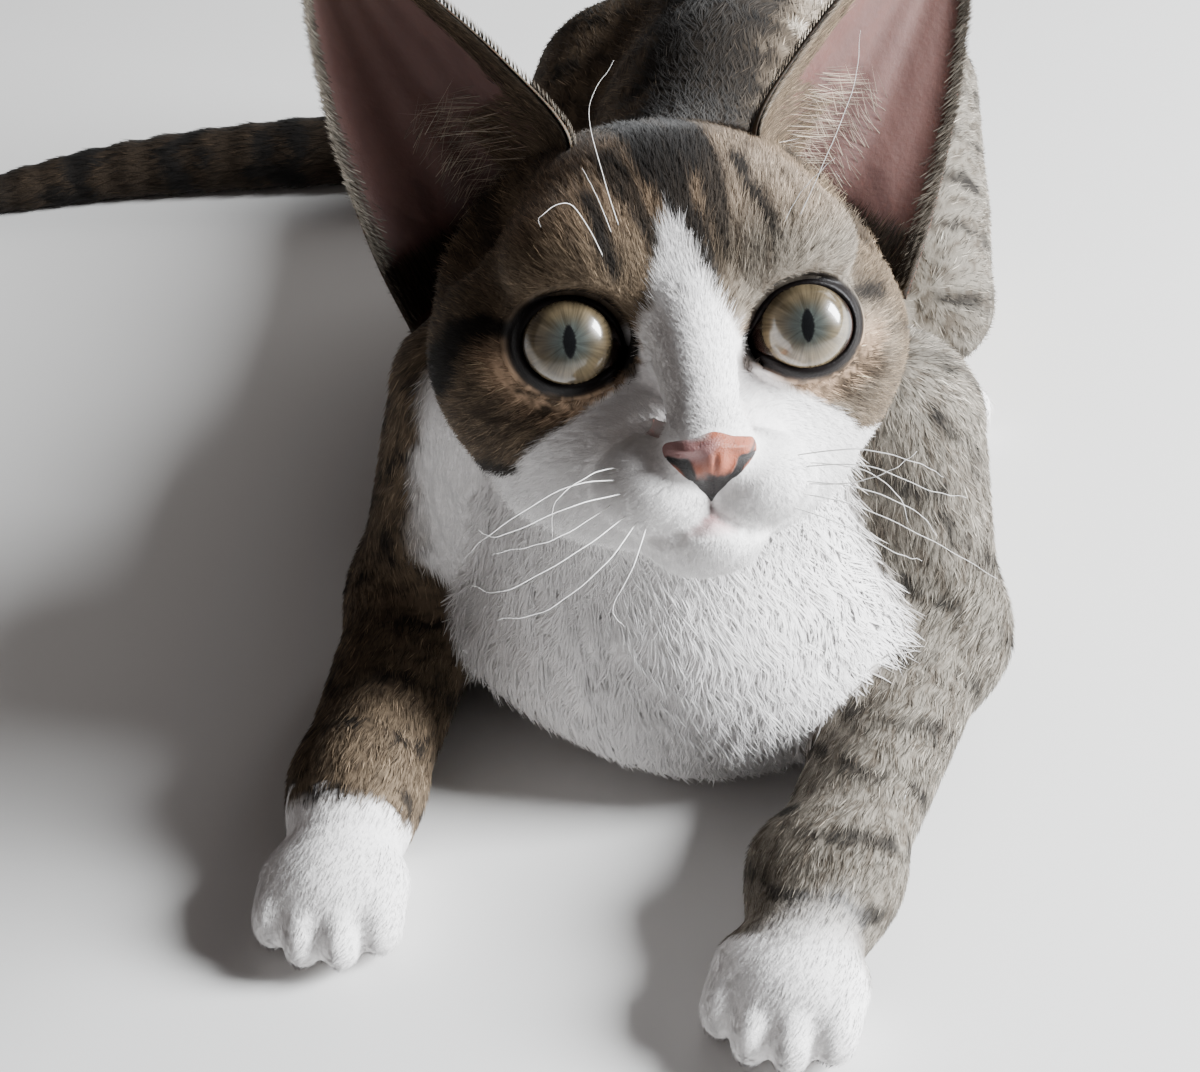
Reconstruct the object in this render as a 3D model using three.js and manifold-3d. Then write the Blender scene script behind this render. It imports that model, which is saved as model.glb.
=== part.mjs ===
// A young brown tabby and white Devon Rex cat, lying on its chest with its forelegs stretched out,
// its head raised and turned to its left, and its tail laid out to its right.
// Millimetres, +Z up. The cat's spine runs along Y and it faces -Y, so +X is the cat's own left.
// The origin is on the floor under the belly.
import * as THREE from "three";
import { mergeVertices } from "three/addons/utils/BufferGeometryUtils.js";
import Module from "manifold-3d";

const wasm = await Module();
wasm.setup();

// Driving dimensions
const CHEST_WIDTH = 100; // over the ribs
const BACK_HEIGHT = 122; // floor to the top of the back
const HIP_WIDTH = 92; // over the pelvis, without the thighs
const PUPIL_GAP = 44; // between the pupils
const EYE_RADIUS = 10.8; // eyeball
const HEAD_WIDTH = 92; // over the cheekbones
const GAP = 0.3; // between touching pieces
const SINK = 3; // how far below the floor a form reaches before it is cut flat

// Where the head is held
const EYES = [23, -190, 165]; // the point midway between the eyes
const HEAD_YAW = 18; // degrees, towards the cat's left
const HEAD_PITCH = 30; // degrees, nose up
const HEAD_ROLL = 4; // degrees, the cat's left eye lower

const rad = THREE.MathUtils.degToRad;
const mix = THREE.MathUtils.lerp;

// Distance fields. Each is a function of x, y and z that is negative inside the form.
function blend(a, b, k) {
  const h = Math.max(k - Math.abs(a - b), 0) / k;
  return Math.min(a, b) - h * h * k * 0.25;
}

function carve(a, b, k) {
  return -blend(-a, b, k);
}

// A matrix that takes a point into a form's own frame, from where it sits and its turns in degrees.
function frameOf(centre, turns = [0, 0, 0]) {
  const turn = new THREE.Euler(...turns.map(rad), "ZXY");
  const place = new THREE.Matrix4().makeRotationFromEuler(turn);
  place.setPosition(...centre);
  return place;
}

function inFrame(place, field) {
  const e = place.clone().invert().elements;
  return (x, y, z) =>
    field(
      e[0] * x + e[4] * y + e[8] * z + e[12],
      e[1] * x + e[5] * y + e[9] * z + e[13],
      e[2] * x + e[6] * y + e[10] * z + e[14],
    );
}

function egg(centre, [rx, ry, rz], turns) {
  const plain = (x, y, z) => {
    const near = Math.hypot(x / rx, y / ry, z / rz);
    const steep = Math.hypot(x / (rx * rx), y / (ry * ry), z / (rz * rz));
    return steep < 1e-9 ? -Math.min(rx, ry, rz) : (near * (near - 1)) / steep;
  };
  return inFrame(frameOf(centre, turns), plain);
}

// A limb: a cone with round ends from a to b.
function limb([ax, ay, az], ra, [bx, by, bz], rb) {
  const [dx, dy, dz] = [bx - ax, by - ay, bz - az];
  const long = dx * dx + dy * dy + dz * dz;
  return (x, y, z) => {
    const along = ((x - ax) * dx + (y - ay) * dy + (z - az) * dz) / long;
    const t = Math.min(1, Math.max(0, along));
    const away = Math.hypot(x - ax - t * dx, y - ay - t * dy, z - az - t * dz);
    return away - mix(ra, rb, t);
  };
}

// Forms that flow into each other over about k millimetres.
function joined(k, ...fields) {
  return (x, y, z) => {
    let d = fields[0](x, y, z);
    for (let i = 1; i < fields.length; i++) d = blend(d, fields[i](x, y, z), k);
    return d;
  };
}

// Everything that the head is made of sits in the head's own frame, with the eyes' midpoint as its origin,
// x to the cat's left, y to the back of the head and z to its crown.
const headPlace = frameOf(EYES, [-HEAD_PITCH, HEAD_ROLL, HEAD_YAW]);
const both = (make) => [make(1), make(-1)];

// A closed surface round a field, on a grid whose lines may be uneven: one corner in each cell that the
// surface crosses, drawn onto the surface, and a pair of triangles for each grid edge that it crosses.
function surfaceOf(field, gx, gy, gz) {
  const [nx, ny, nz] = [gx.length, gy.length, gz.length];
  const id = (i, j, k) => (k * ny + j) * nx + i;
  const value = new Float64Array(nx * ny * nz);
  for (let k = 0; k < nz; k++)
    for (let j = 0; j < ny; j++)
      for (let i = 0; i < nx; i++) {
        const rim = i * j * k === 0 || i === nx - 1 || j === ny - 1 || k === nz - 1;
        const d = field(gx[i], gy[j], gz[k]);
        value[id(i, j, k)] = rim ? Math.max(d, 0.01) : d;
      }

  const corners = [];
  const cornerOf = new Map();
  const crossing = (a, b) => value[a] < 0 !== value[b] < 0;
  for (let k = 0; k + 1 < nz; k++)
    for (let j = 0; j + 1 < ny; j++)
      for (let i = 0; i + 1 < nx; i++) {
        const sum = [0, 0, 0, 0];
        for (let axis = 0; axis < 3; axis++)
          for (let side = 0; side < 4; side++) {
            const low = [i, j, k];
            low[(axis + 1) % 3] += side & 1;
            low[(axis + 2) % 3] += side >> 1;
            const high = [...low];
            high[axis] += 1;
            const [a, b] = [id(...low), id(...high)];
            if (!crossing(a, b)) continue;
            const t = value[a] / (value[a] - value[b]);
            [gx, gy, gz].forEach((grid, n) => (sum[n] += mix(grid[low[n]], grid[high[n]], t)));
            sum[3] += 1;
          }
        if (!sum[3]) continue;
        cornerOf.set(id(i, j, k), corners.length / 3);
        const middle = [sum[0] / sum[3], sum[1] / sum[3], sum[2] / sum[3]];
        const rim = i * j * k === 0 || i === nx - 2 || j === ny - 2 || k === nz - 2;
        corners.push(...(rim ? middle : drawnOnto(field, ...middle)));
      }

  const faces = [];
  const step = [1, nx, nx * ny];
  for (let k = 0; k + 1 < nz; k++)
    for (let j = 0; j + 1 < ny; j++)
      for (let i = 0; i + 1 < nx; i++) {
        const at = id(i, j, k);
        for (let axis = 0; axis < 3; axis++) {
          const beside = [i, j, k].filter((_, n) => n !== axis);
          if (Math.min(...beside) < 1 || !crossing(at, at + step[axis])) continue;
          const [u, v] = [step[(axis + 1) % 3], step[(axis + 2) % 3]];
          const ring = [at - u - v, at - v, at, at - u].map((cell) => cornerOf.get(cell));
          if (value[at] >= 0) ring.reverse();
          faces.push(ring[0], ring[1], ring[2], ring[0], ring[2], ring[3]);
        }
      }
  return solidOf(corners, faces);
}

function drawnOnto(field, x, y, z) {
  const e = 0.05;
  for (let pass = 0; pass < 2; pass++) {
    const d = field(x, y, z);
    const gx = (field(x + e, y, z) - d) / e;
    const gy = (field(x, y + e, z) - d) / e;
    const gz = (field(x, y, z + e) - d) / e;
    const pull = (0.8 * d) / Math.max(gx * gx + gy * gy + gz * gz, 0.3);
    [x, y, z] = [x - pull * gx, y - pull * gy, z - pull * gz];
  }
  return [x, y, z];
}

// Grid lines from low to high, about step apart.
function lines(low, high, step) {
  const count = Math.ceil((high - low) / step);
  return Array.from({ length: count + 1 }, (_, i) => mix(low, high, i / count));
}

// Grid lines of two spacings, fine between the last two numbers.
function linesFine(low, high, step, from, to, fineStep) {
  return [...lines(low, from, step).slice(0, -1), ...lines(from, to, fineStep), ...lines(to, high, step).slice(1)];
}

function solidOf(corners, faces) {
  const mesh = new wasm.Mesh({
    numProp: 3,
    vertProperties: new Float32Array(corners),
    triVerts: new Uint32Array(faces),
  });
  return new wasm.Manifold(mesh);
}

function solidFrom(geometry) {
  geometry.deleteAttribute("normal");
  geometry.deleteAttribute("uv");
  const merged = mergeVertices(geometry, 1e-4);
  return solidOf(merged.attributes.position.array, merged.index.array);
}

// The same solid, grown outwards by the gap, to cut its neighbours with.
function grown(solid, by = GAP) {
  const mesh = solid.getMesh();
  const geometry = new THREE.BufferGeometry();
  geometry.setAttribute("position", new THREE.BufferAttribute(new Float32Array(mesh.vertProperties), 3));
  geometry.setIndex(new THREE.BufferAttribute(new Uint32Array(mesh.triVerts), 1));
  geometry.computeVertexNormals();
  const [place, normal] = [geometry.attributes.position.array, geometry.attributes.normal.array];
  for (let i = 0; i < place.length; i++) place[i] += by * normal[i];
  return solidOf(place, geometry.index.array);
}

function largest(solid) {
  return solid.decompose().reduce((a, b) => (b.volume() > a.volume() ? b : a));
}

// The same solid without the slivers that cuts leave: each edge shorter than the limit closes to a point,
// and faces that then lie back to back cancel.
const SHORTEST_EDGE = 0.12;
function tidied(solid) {
  const { vertProperties: place, triVerts: faces } = solid.getMesh();
  const joinedTo = Array.from({ length: place.length / 3 }, (_, i) => i);
  const root = (i) => {
    while (joinedTo[i] !== i) i = joinedTo[i];
    return i;
  };
  const apart = (a, b) => Math.hypot(...[0, 1, 2].map((n) => place[3 * a + n] - place[3 * b + n]));
  for (let f = 0; f < faces.length; f += 3)
    for (let n = 0; n < 3; n++) {
      const [a, b] = [root(faces[f + n]), root(faces[f + ((n + 1) % 3)])];
      if (a !== b && apart(a, b) < SHORTEST_EDGE) joinedTo[Math.max(a, b)] = Math.min(a, b);
    }
  const kept = new Map();
  for (let f = 0; f < faces.length; f += 3) {
    const face = [root(faces[f]), root(faces[f + 1]), root(faces[f + 2])];
    if (new Set(face).size < 3) continue;
    const key = [...face].sort((a, b) => a - b).join();
    if (kept.has(key)) kept.delete(key);
    else kept.set(key, face);
  }
  const used = [...new Set([...kept.values()].flat())];
  const order = new Map(used.map((i, n) => [i, n]));
  const corners = used.flatMap((i) => [place[3 * i], place[3 * i + 1], place[3 * i + 2]]);
  return solidOf(
    corners,
    [...kept.values()].flat().map((i) => order.get(i)),
  );
}

// Cuts. A plane has a point and a normal, and the part on the normal's side is kept.
function keep(solid, point, normal, gap = GAP / 2) {
  const n = new THREE.Vector3(...normal).normalize();
  return solid.trimByPlane(n.toArray(), n.dot(new THREE.Vector3(...point)) + gap);
}

function keepOther(solid, point, normal) {
  return keep(
    solid,
    point,
    normal.map((c) => -c),
  );
}

// The head, in its own frame
const SKULL = { centre: [0, 41, 5.5], size: [HEAD_WIDTH / 2 - 0.5, 39, 36] };
const cheek = (s) => egg([24 * s, 36, -12], [20, 25, 19]);
const cheekbone = (s) => egg([33 * s, 33, -3], [13.5, 23, 14]);
const brow = (s) => egg([19 * s, 8, 15], [14, 12, 11]);
const lidSwell = (s) => egg([21.6 * s, 9, 0], [13, 12.6, 12]);
const whiskerPad = (s) => egg([9.5 * s, -6, -26], [11.5, 12.5, 9.5]);
const bridge = limb([0, 2, 2], 9, [0, -12.5, -15.5], 7);
const noseBack = egg([0, -14.5, -18.5], [8.5, 8, 7]);
const chin = egg([0, -6, -35.5], [10.5, 9.5, 6.8]);
const jaw = (s) => limb([0, 0, -32], 11, [19 * s, 36, -23], 16);
const throat = egg([0, 26, -24], [27, 26, 17]);
const forehead = egg([0, 16, 17], [27, 19, 20]);

const headForm = (() => {
  const skull = joined(12, egg(SKULL.centre, SKULL.size), forehead, ...both(cheek), throat);
  const face = joined(7, skull, ...both(cheekbone), ...both(brow), ...both(jaw));
  const muzzle = joined(4, bridge, noseBack, ...both(whiskerPad), chin);
  const front = joined(6, face, muzzle);
  const lidded = joined(2.5, front, ...both(lidSwell));
  const earHollow = (s) => egg([37 * s, 30, 27], [10, 10, 14], [0, -30 * s, 0]);
  return both(earHollow).reduce((form, hollow) => (x, y, z) => carve(form(x, y, z), hollow(x, y, z), 6), lidded);
})();

// The trunk and neck
const breastForm = joined(14, egg([2, -95, 53], [49, 60, 57]), egg([13, -112, 34], [45, 46, 42]));
const chestForm = joined(12, breastForm, egg([5, -104, 27], [62, 46, 36]));
const flankForm = egg([0, -42, 36], [65, 68, 42]);
const ribsForm = joined(14, egg([0, -35, 58], [CHEST_WIDTH / 2, 78, BACK_HEIGHT / 2]), flankForm);
const loinForm = egg([0, 45, 57], [46, 74, BACK_HEIGHT / 2]);
const hipForm = egg([0, 100, 55], [HIP_WIDTH / 2, 54, 62]);
const neckForm = limb([11, -150, 124], 32, [2, -92, 78], 44);
const trunk = joined(16, chestForm, ribsForm, loinForm, hipForm, neckForm);
const headInPlace = inFrame(headPlace, headForm);
const wholeBody = joined(10, trunk, headInPlace);

// Limbs. A side is 1 for the cat's left and -1 for its right.
const LEGS = {
  left: { side: 1, shoulder: [52, -90, 74], elbow: [65, -101, 20], wrist: [46, -182, 15.5], paw: [41, -210, 12] },
  right: { side: -1, shoulder: [-43, -92, 80], elbow: [-65, -98, 19], wrist: [-67, -165, 15.5], paw: [-66, -193, 12] },
};
const HIP = [36, 96, 60];
const KNEE = [59, 16, 42];
const HEEL = [58, 104, 12];
const BALL = [62, 16, 10.5];

function toes([x, y, z], turn, reach) {
  const place = frameOf([x, y, z], [0, 0, turn]);
  const spots = [
    [-12.5, -reach + 5],
    [-4.4, -reach],
    [4.4, -reach],
    [12.5, -reach + 5],
  ];
  return spots.map(([tx, ty]) => inFrame(place, egg([tx, ty, -2.5], [6, 8.5, 8.5])));
}

const turnOf = ([ax, ay], [bx, by]) => THREE.MathUtils.radToDeg(Math.atan2(bx - ax, ay - by));
const upperArmForm = ({ shoulder, elbow }) => joined(8, limb(shoulder, 27, elbow, 20), egg(elbow, [20, 22, 22]));
const forearmForm = ({ elbow, wrist }) => limb(elbow, 20, wrist, 17);
const pawForm = ({ wrist, paw }) => {
  const turn = turnOf(wrist, paw);
  return joined(3, limb(wrist, 16.8, paw, 12.5), egg(paw, [18.5, 16, 13], [0, 0, turn]), ...toes(paw, turn, 13));
};
const mirrored = ([x, y, z], side) => [x * side, y, z];
const thighForm = (side) => {
  const [hip, knee] = [mirrored(HIP, side), mirrored(KNEE, side)];
  return joined(10, limb(hip, 37, knee, 21), egg(mirrored([52, 60, 30], side), [25, 48, 32]));
};
const hindFootForm = (side) => {
  const [heel, ball] = [mirrored(HEEL, side), mirrored(BALL, side)];
  return joined(3, limb(heel, 12, ball, 10), egg(ball, [14, 14, 11]), ...toes(ball, 0, 9));
};

// The tail lies along a curve on the floor, thinner towards its tip.
const TAIL_TIP = 7.5; // radius
const TAIL_ROOT = 16;
const tailRadius = (t) => mix(TAIL_ROOT, TAIL_TIP, t ** 2.8);
const tailCurve = new THREE.CatmullRomCurve3(
  [
    [12, 140, 30],
    [-16, 158, 16],
    [-70, 162, 14.4],
    [-160, 150, 13],
    [-232, 138, 10],
    [-287, 120, 6.2],
  ].map((p) => new THREE.Vector3(...p)),
);
function tailPart(from, to) {
  const count = 8;
  const pieces = [];
  for (let i = 0; i < count; i++) {
    const [a, b] = [mix(from, to, i / count), mix(from, to, (i + 1) / count)];
    const ends = [a, b].map((t) => [tailCurve.getPointAt(t).toArray(), tailRadius(t)]);
    pieces.push(limb(ends[0][0], ends[0][1], ends[1][0], ends[1][1]));
  }
  return joined(2, ...pieces);
}

// An ear: a cupped leaf between an inner and an outer edge, from deep in the head to the tip.
const EAR = {
  inner: [[20, 30, 26], [18, 24, 38], [29, 29, 53], [41, 34, 65.5], [53, 38, 76], [60, 40, 81.5]],
  outer: [[50, 44, 2], [56.5, 46, 18], [62, 46, 38], [64.5, 45, 56], [65, 43, 70], [63, 41, 81]],
  rootCup: 20,
  tipCup: 2,
  rootThick: 3.2,
  edgeThick: 1.6,
};
const EAR_ROWS = 11;
const EAR_COLUMNS = 8;
function earSolid(side) {
  const curve = (points) => new THREE.CatmullRomCurve3(points.map(([x, y, z]) => new THREE.Vector3(x * side, y, z)));
  const [inner, outer] = [curve(EAR.inner), curve(EAR.outer)];
  const corners = [];
  const layers = [1, -1].map((face) => {
    const grid = [];
    for (let r = 0; r <= EAR_ROWS; r++) {
      const u = r / EAR_ROWS;
      const [a, b] = [inner.getPoint(u), outer.getPoint(u)];
      const across = b.clone().sub(a);
      const up = outer.getTangent(u).add(inner.getTangent(u));
      const back = up.clone().cross(across).normalize().multiplyScalar(side);
      const cup = mix(EAR.rootCup, EAR.tipCup, Math.sin((u * Math.PI) / 2));
      const row = [];
      for (let c = 0; c <= EAR_COLUMNS; c++) {
        const v = c / EAR_COLUMNS;
        const bow = Math.sin(Math.PI * v) ** 0.75;
        const thick = mix(EAR.edgeThick, mix(EAR.rootThick, EAR.edgeThick, u), bow) / 2;
        const point = a.clone().lerp(b, v);
        point.addScaledVector(back, cup * bow + face * thick);
        row.push(corners.length / 3);
        corners.push(point.x, point.y, point.z);
      }
      grid.push(row);
    }
    return grid;
  });
  const faces = [];
  const quad = (a, b, c, d) => faces.push(a, b, c, a, c, d);
  const [rear, front] = layers;
  for (let r = 0; r < EAR_ROWS; r++)
    for (let c = 0; c < EAR_COLUMNS; c++) {
      quad(rear[r][c], rear[r][c + 1], rear[r + 1][c + 1], rear[r + 1][c]);
      quad(front[r][c], front[r + 1][c], front[r + 1][c + 1], front[r][c + 1]);
    }
  for (let r = 0; r < EAR_ROWS; r++) {
    quad(rear[r][0], rear[r + 1][0], front[r + 1][0], front[r][0]);
    quad(rear[r + 1][EAR_COLUMNS], rear[r][EAR_COLUMNS], front[r][EAR_COLUMNS], front[r + 1][EAR_COLUMNS]);
  }
  for (let c = 0; c < EAR_COLUMNS; c++) {
    quad(rear[0][c + 1], rear[0][c], front[0][c], front[0][c + 1]);
    quad(rear[EAR_ROWS][c], rear[EAR_ROWS][c + 1], front[EAR_ROWS][c + 1], front[EAR_ROWS][c]);
  }
  if (side < 0) for (let i = 0; i < faces.length; i += 3) [faces[i], faces[i + 1]] = [faces[i + 1], faces[i]];
  const solid = solidOf(corners, faces);
  return solid.volume() > 0 ? solid : solidOf(corners, faces.reverse());
}

// Eyes, lids, nose and mouth, in the head's frame
const EYE_DEPTH = 9.6; // eyeball centre behind the pupils
const LID_OPENING = { wide: 10, high: 8.4, cornerIn: 12.2, tilt: 6 };
const eyeCentre = (side) => [(PUPIL_GAP / 2) * side, EYE_DEPTH, 0];

function ball(radius, centre, scale = [1, 1, 1], detail = [18, 10]) {
  const geometry = new THREE.SphereGeometry(radius, ...detail);
  geometry.scale(...scale);
  geometry.rotateX(Math.PI / 2);
  geometry.translate(...centre);
  return solidFrom(geometry);
}

// The opening between the lids, drawn out to a point at the nose side.
function lidOpening(side) {
  const shape = new THREE.Shape();
  const count = 20;
  for (let i = 0; i <= count - 1; i++) {
    const turn = (i / count) * Math.PI * 2;
    const [c, s] = [Math.cos(turn), Math.sin(turn)];
    const inward = Math.max(0, -c) ** 6;
    const x = c * mix(LID_OPENING.wide, LID_OPENING.cornerIn, inward);
    const y = s * LID_OPENING.high - 2.4 * inward;
    shape[i ? "lineTo" : "moveTo"](x * side, y);
  }
  const geometry = new THREE.ExtrudeGeometry(shape, { depth: 16, bevelEnabled: false });
  geometry.rotateX(Math.PI / 2);
  geometry.rotateY(rad(LID_OPENING.tilt) * side);
  geometry.translate((PUPIL_GAP / 2) * side, EYE_DEPTH - 3, 0);
  return solidFrom(geometry);
}

// Where the head's surface is met from the front, at x and z.
function faceAt(x, z) {
  let y = -40;
  for (let i = 0; i < 60; i++) y += 0.7 * headForm(x, y, z);
  return new THREE.Vector3(x, y, z);
}

// A groove pressed along the face by a thin round rod.
function groove(points, radius) {
  const path = new THREE.CatmullRomCurve3(points.map(([x, z]) => faceAt(x, z)));
  const section = new THREE.Shape();
  section.absarc(0, 0, radius, 0, Math.PI * 2);
  const options = { steps: 14, curveSegments: 6, bevelEnabled: false, extrudePath: path };
  return solidFrom(new THREE.ExtrudeGeometry(section, options));
}

const MOUTH = [[0, -31.8], [4, -34.2], [8.5, -35.6], [13, -35]];
const PHILTRUM = [[0, -25], [0, -28.5], [0, -32.6]];
const noseForm = joined(1.5, egg([0, -20.3, -17.6], [8.4, 3.8, 3.6]), egg([0, -19.6, -21.5], [4.6, 3.8, 5]));
const nostril = (s) => ball(1.7, [4.6 * s, -23, -19.6], [1.35, 1.6, 0.8], [10, 8]);

const inHead = (solid) => solid.transform(headPlace.elements);
const headGrid = [
  linesFine(-60, 60, 7.5, -26, 26, 3.5),
  linesFine(-36, 88, 7.5, -28, 7, 3.5),
  linesFine(-64, 56, 7.5, -46, 10, 3.5),
];
const bodyInHead = inFrame(headPlace.clone().invert(), wholeBody);
const NAPE = { point: [0, 41, -44], normal: [0, 0.9, -0.43] };
const headWhole = surfaceOf(bodyInHead, ...headGrid);
const nose = surfaceOf(noseForm, lines(-12, 12, 2.4), lines(-27, -13, 2.4), lines(-30, -11, 2.4)).subtract(
  nostril(1).add(nostril(-1)),
);
const eyes = both((s) => ball(EYE_RADIUS, eyeCentre(s)));
let head = keepOther(headWhole, NAPE.point, NAPE.normal);
for (const side of [1, -1]) head = head.subtract(lidOpening(side)).subtract(ball(EYE_RADIUS + GAP, eyeCentre(side)));
head = head.subtract(grown(nose));
head = head.subtract(groove(PHILTRUM, 0.7));
for (const side of [1, -1]) head = head.subtract(groove(MOUTH.map(([x, z]) => [x * side, z]), 0.8));
head = largest(head);
const headCutter = grown(headWhole);
const ears = both((s) => largest(earSolid(s).subtract(headCutter)));

// The trunk's pieces, each meshed from the whole body's field and parted by planes
const WITHERS = { point: [0, -112, 103], normal: [0, 0.38, -0.925] };
const RIBS_END = { point: [0, -48, 60], normal: [0, 1, 0] };
const LOIN_END = { point: [0, 52, 60], normal: [0, 1, 0] };
const floor = (solid) => solid.trimByPlane([0, 0, 1], 0);
const napeInBody = {
  point: new THREE.Vector3(...NAPE.point).applyMatrix4(headPlace).toArray(),
  normal: new THREE.Vector3(...NAPE.normal).transformDirection(headPlace).toArray(),
};
const TRUNK_STEP = 15;
const NAPE_LAP = 9; // how far the trunk's surface is made past the plane that parts it from the head
const behindHead = (x, y, z) => {
  const [px, py, pz] = napeInBody.point;
  const [nx, ny, nz] = napeInBody.normal;
  const ahead = -NAPE_LAP - (x - px) * nx - (y - py) * ny - (z - pz) * nz;
  return Math.max(wholeBody(x, y, z), ahead, -SINK - z);
};
const bodyWhole = surfaceOf(
  behindHead,
  lines(-75, 75, TRUNK_STEP),
  lines(-190, 170, TRUNK_STEP),
  lines(-SINK - TRUNK_STEP, 176, TRUNK_STEP),
);

// A limb's surface, in the box that reaches past its joints by the given length.
function limbSolid(field, joints, reach, step) {
  const grid = (axis) => {
    const along = joints.map((joint) => joint[axis]);
    return lines(Math.min(...along) - reach, Math.max(...along) + reach, step);
  };
  return surfaceOf(field, grid(0), grid(1), grid(2));
}

const ARM_DEPTH = 30; // how near the spine's plane the arms and thighs go inside the trunk
const THIGH_DEPTH = 32;
const pieces = new Map();
const looks = {
  coat: { color: 0x8a7868, roughness: 0.9, metalness: 0 },
  white: { color: 0xe8e4e2, roughness: 0.9, metalness: 0 },
  skin: { color: 0x8a6a60, roughness: 0.7, metalness: 0 },
  nose: { color: 0xc08272, roughness: 0.5, metalness: 0 },
  eye: { color: 0x9a9478, roughness: 0.1, metalness: 0 },
};

for (const [name, leg] of Object.entries(LEGS)) {
  const { side, shoulder, elbow, wrist, paw } = leg;
  const parting = turnOf(elbow, wrist);
  const upper = limbSolid(upperArmForm(leg), [shoulder, elbow], 33, 11);
  const fore = limbSolid(forearmForm(leg), [elbow, wrist], 26, 10);
  const foot = limbSolid(pawForm(leg), [wrist, paw], 28, 5.4);
  const along = [Math.sin(rad(parting)), -Math.cos(rad(parting)), 0];
  const elbowPoint = elbow.map((c, n) => c + along[n] * 14);
  const wristPoint = wrist.map((c, n) => c + along[n] * 4);
  const outer = keep(keepOther(upper, elbowPoint, along), [ARM_DEPTH * side, 0, 0], [side, 0, 0]);
  pieces.set("upper_arm_" + name, [largest(floor(outer)), "coat"]);
  pieces.set("forearm_" + name, [largest(floor(keepOther(keep(fore, elbowPoint, along), wristPoint, along))), "coat"]);
  pieces.set("forepaw_" + name, [largest(floor(keep(foot, wristPoint, along))), "white"]);
}

for (const [name, side] of [["left", 1], ["right", -1]]) {
  const jointsOf = (...joints) => joints.map((joint) => mirrored(joint, side));
  const foot = floor(limbSolid(hindFootForm(side), jointsOf(HEEL, BALL), 24, 7));
  const thighWhole = limbSolid(thighForm(side), jointsOf(HIP, KNEE), 47, 15);
  const thigh = floor(keep(thighWhole, [THIGH_DEPTH * side, 0, 0], [side, 0, 0])).subtract(grown(foot));
  pieces.set("hind_foot_" + name, [largest(foot), "white"]);
  pieces.set("thigh_" + name, [largest(thigh), "coat"]);
}

const limbsCutter = [...pieces.values()].map(([solid]) => grown(solid)).reduce((a, b) => a.add(b));
const TAIL_CUTS = [0.05, 0.36, 0.68, 1];
const TAIL_NAMES = ["tail_root", "tail_middle", "tail_tip"];
const tailWhole = floor(
  surfaceOf(tailPart(0, 1), linesFine(-316, 40, 10, -302, -280, 4), lines(100, 186, 7.5), lines(-11, 56, 7.5)),
).subtract(limbsCutter);
TAIL_NAMES.forEach((name, i) => {
  let length = tailWhole;
  const [from, to] = [TAIL_CUTS[i], TAIL_CUTS[i + 1]];
  if (i > 0) length = keep(length, tailCurve.getPointAt(from).toArray(), tailCurve.getTangentAt(from).toArray());
  if (to < 1) length = keepOther(length, tailCurve.getPointAt(to).toArray(), tailCurve.getTangentAt(to).toArray());
  if (i === 0) length = length.subtract(grown(bodyWhole));
  pieces.set(name, [largest(length), "coat"]);
});

const body = floor(bodyWhole.subtract(limbsCutter));
const behindNape = keep(body, napeInBody.point, napeInBody.normal);
pieces.set("neck", [largest(keepOther(behindNape, WITHERS.point, WITHERS.normal)), "coat"]);
const trunkOnly = keep(behindNape, WITHERS.point, WITHERS.normal);
pieces.set("chest", [largest(keepOther(trunkOnly, RIBS_END.point, RIBS_END.normal)), "white"]);
const middle = keepOther(keep(trunkOnly, RIBS_END.point, RIBS_END.normal), LOIN_END.point, LOIN_END.normal);
pieces.set("torso", [largest(middle), "coat"]);
pieces.set("hindquarters", [largest(keep(trunkOnly, LOIN_END.point, LOIN_END.normal)), "coat"]);

pieces.set("head", [inHead(head), "coat"]);
pieces.set("nose", [inHead(nose), "nose"]);
["left", "right"].forEach((name, i) => {
  pieces.set("ear_" + name, [inHead(ears[i]), "skin"]);
  pieces.set("eye_" + name, [inHead(eyes[i]), "eye"]);
});

function meshOf(name, solid, look) {
  const mesh = solid.getMesh();
  const geometry = new THREE.BufferGeometry();
  geometry.setAttribute("position", new THREE.BufferAttribute(new Float32Array(mesh.vertProperties), 3));
  geometry.setIndex(new THREE.BufferAttribute(new Uint32Array(mesh.triVerts), 1));
  const made = new THREE.Mesh(geometry, new THREE.MeshStandardMaterial(looks[look]));
  made.name = name;
  return made;
}

const cat = new THREE.Group();
for (const [name, [solid, look]] of pieces) cat.add(meshOf(name, tidied(solid), look));
export default cat;
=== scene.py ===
# A young brown tabby and white Devon Rex cat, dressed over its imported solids: one skin with its markings,
# short waved fur as solid tufts, eyes, nose, ears and whiskers. Shapes are worked out in millimetres.
import math

import bpy
import numpy as np
from mathutils import Matrix, Vector


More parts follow.
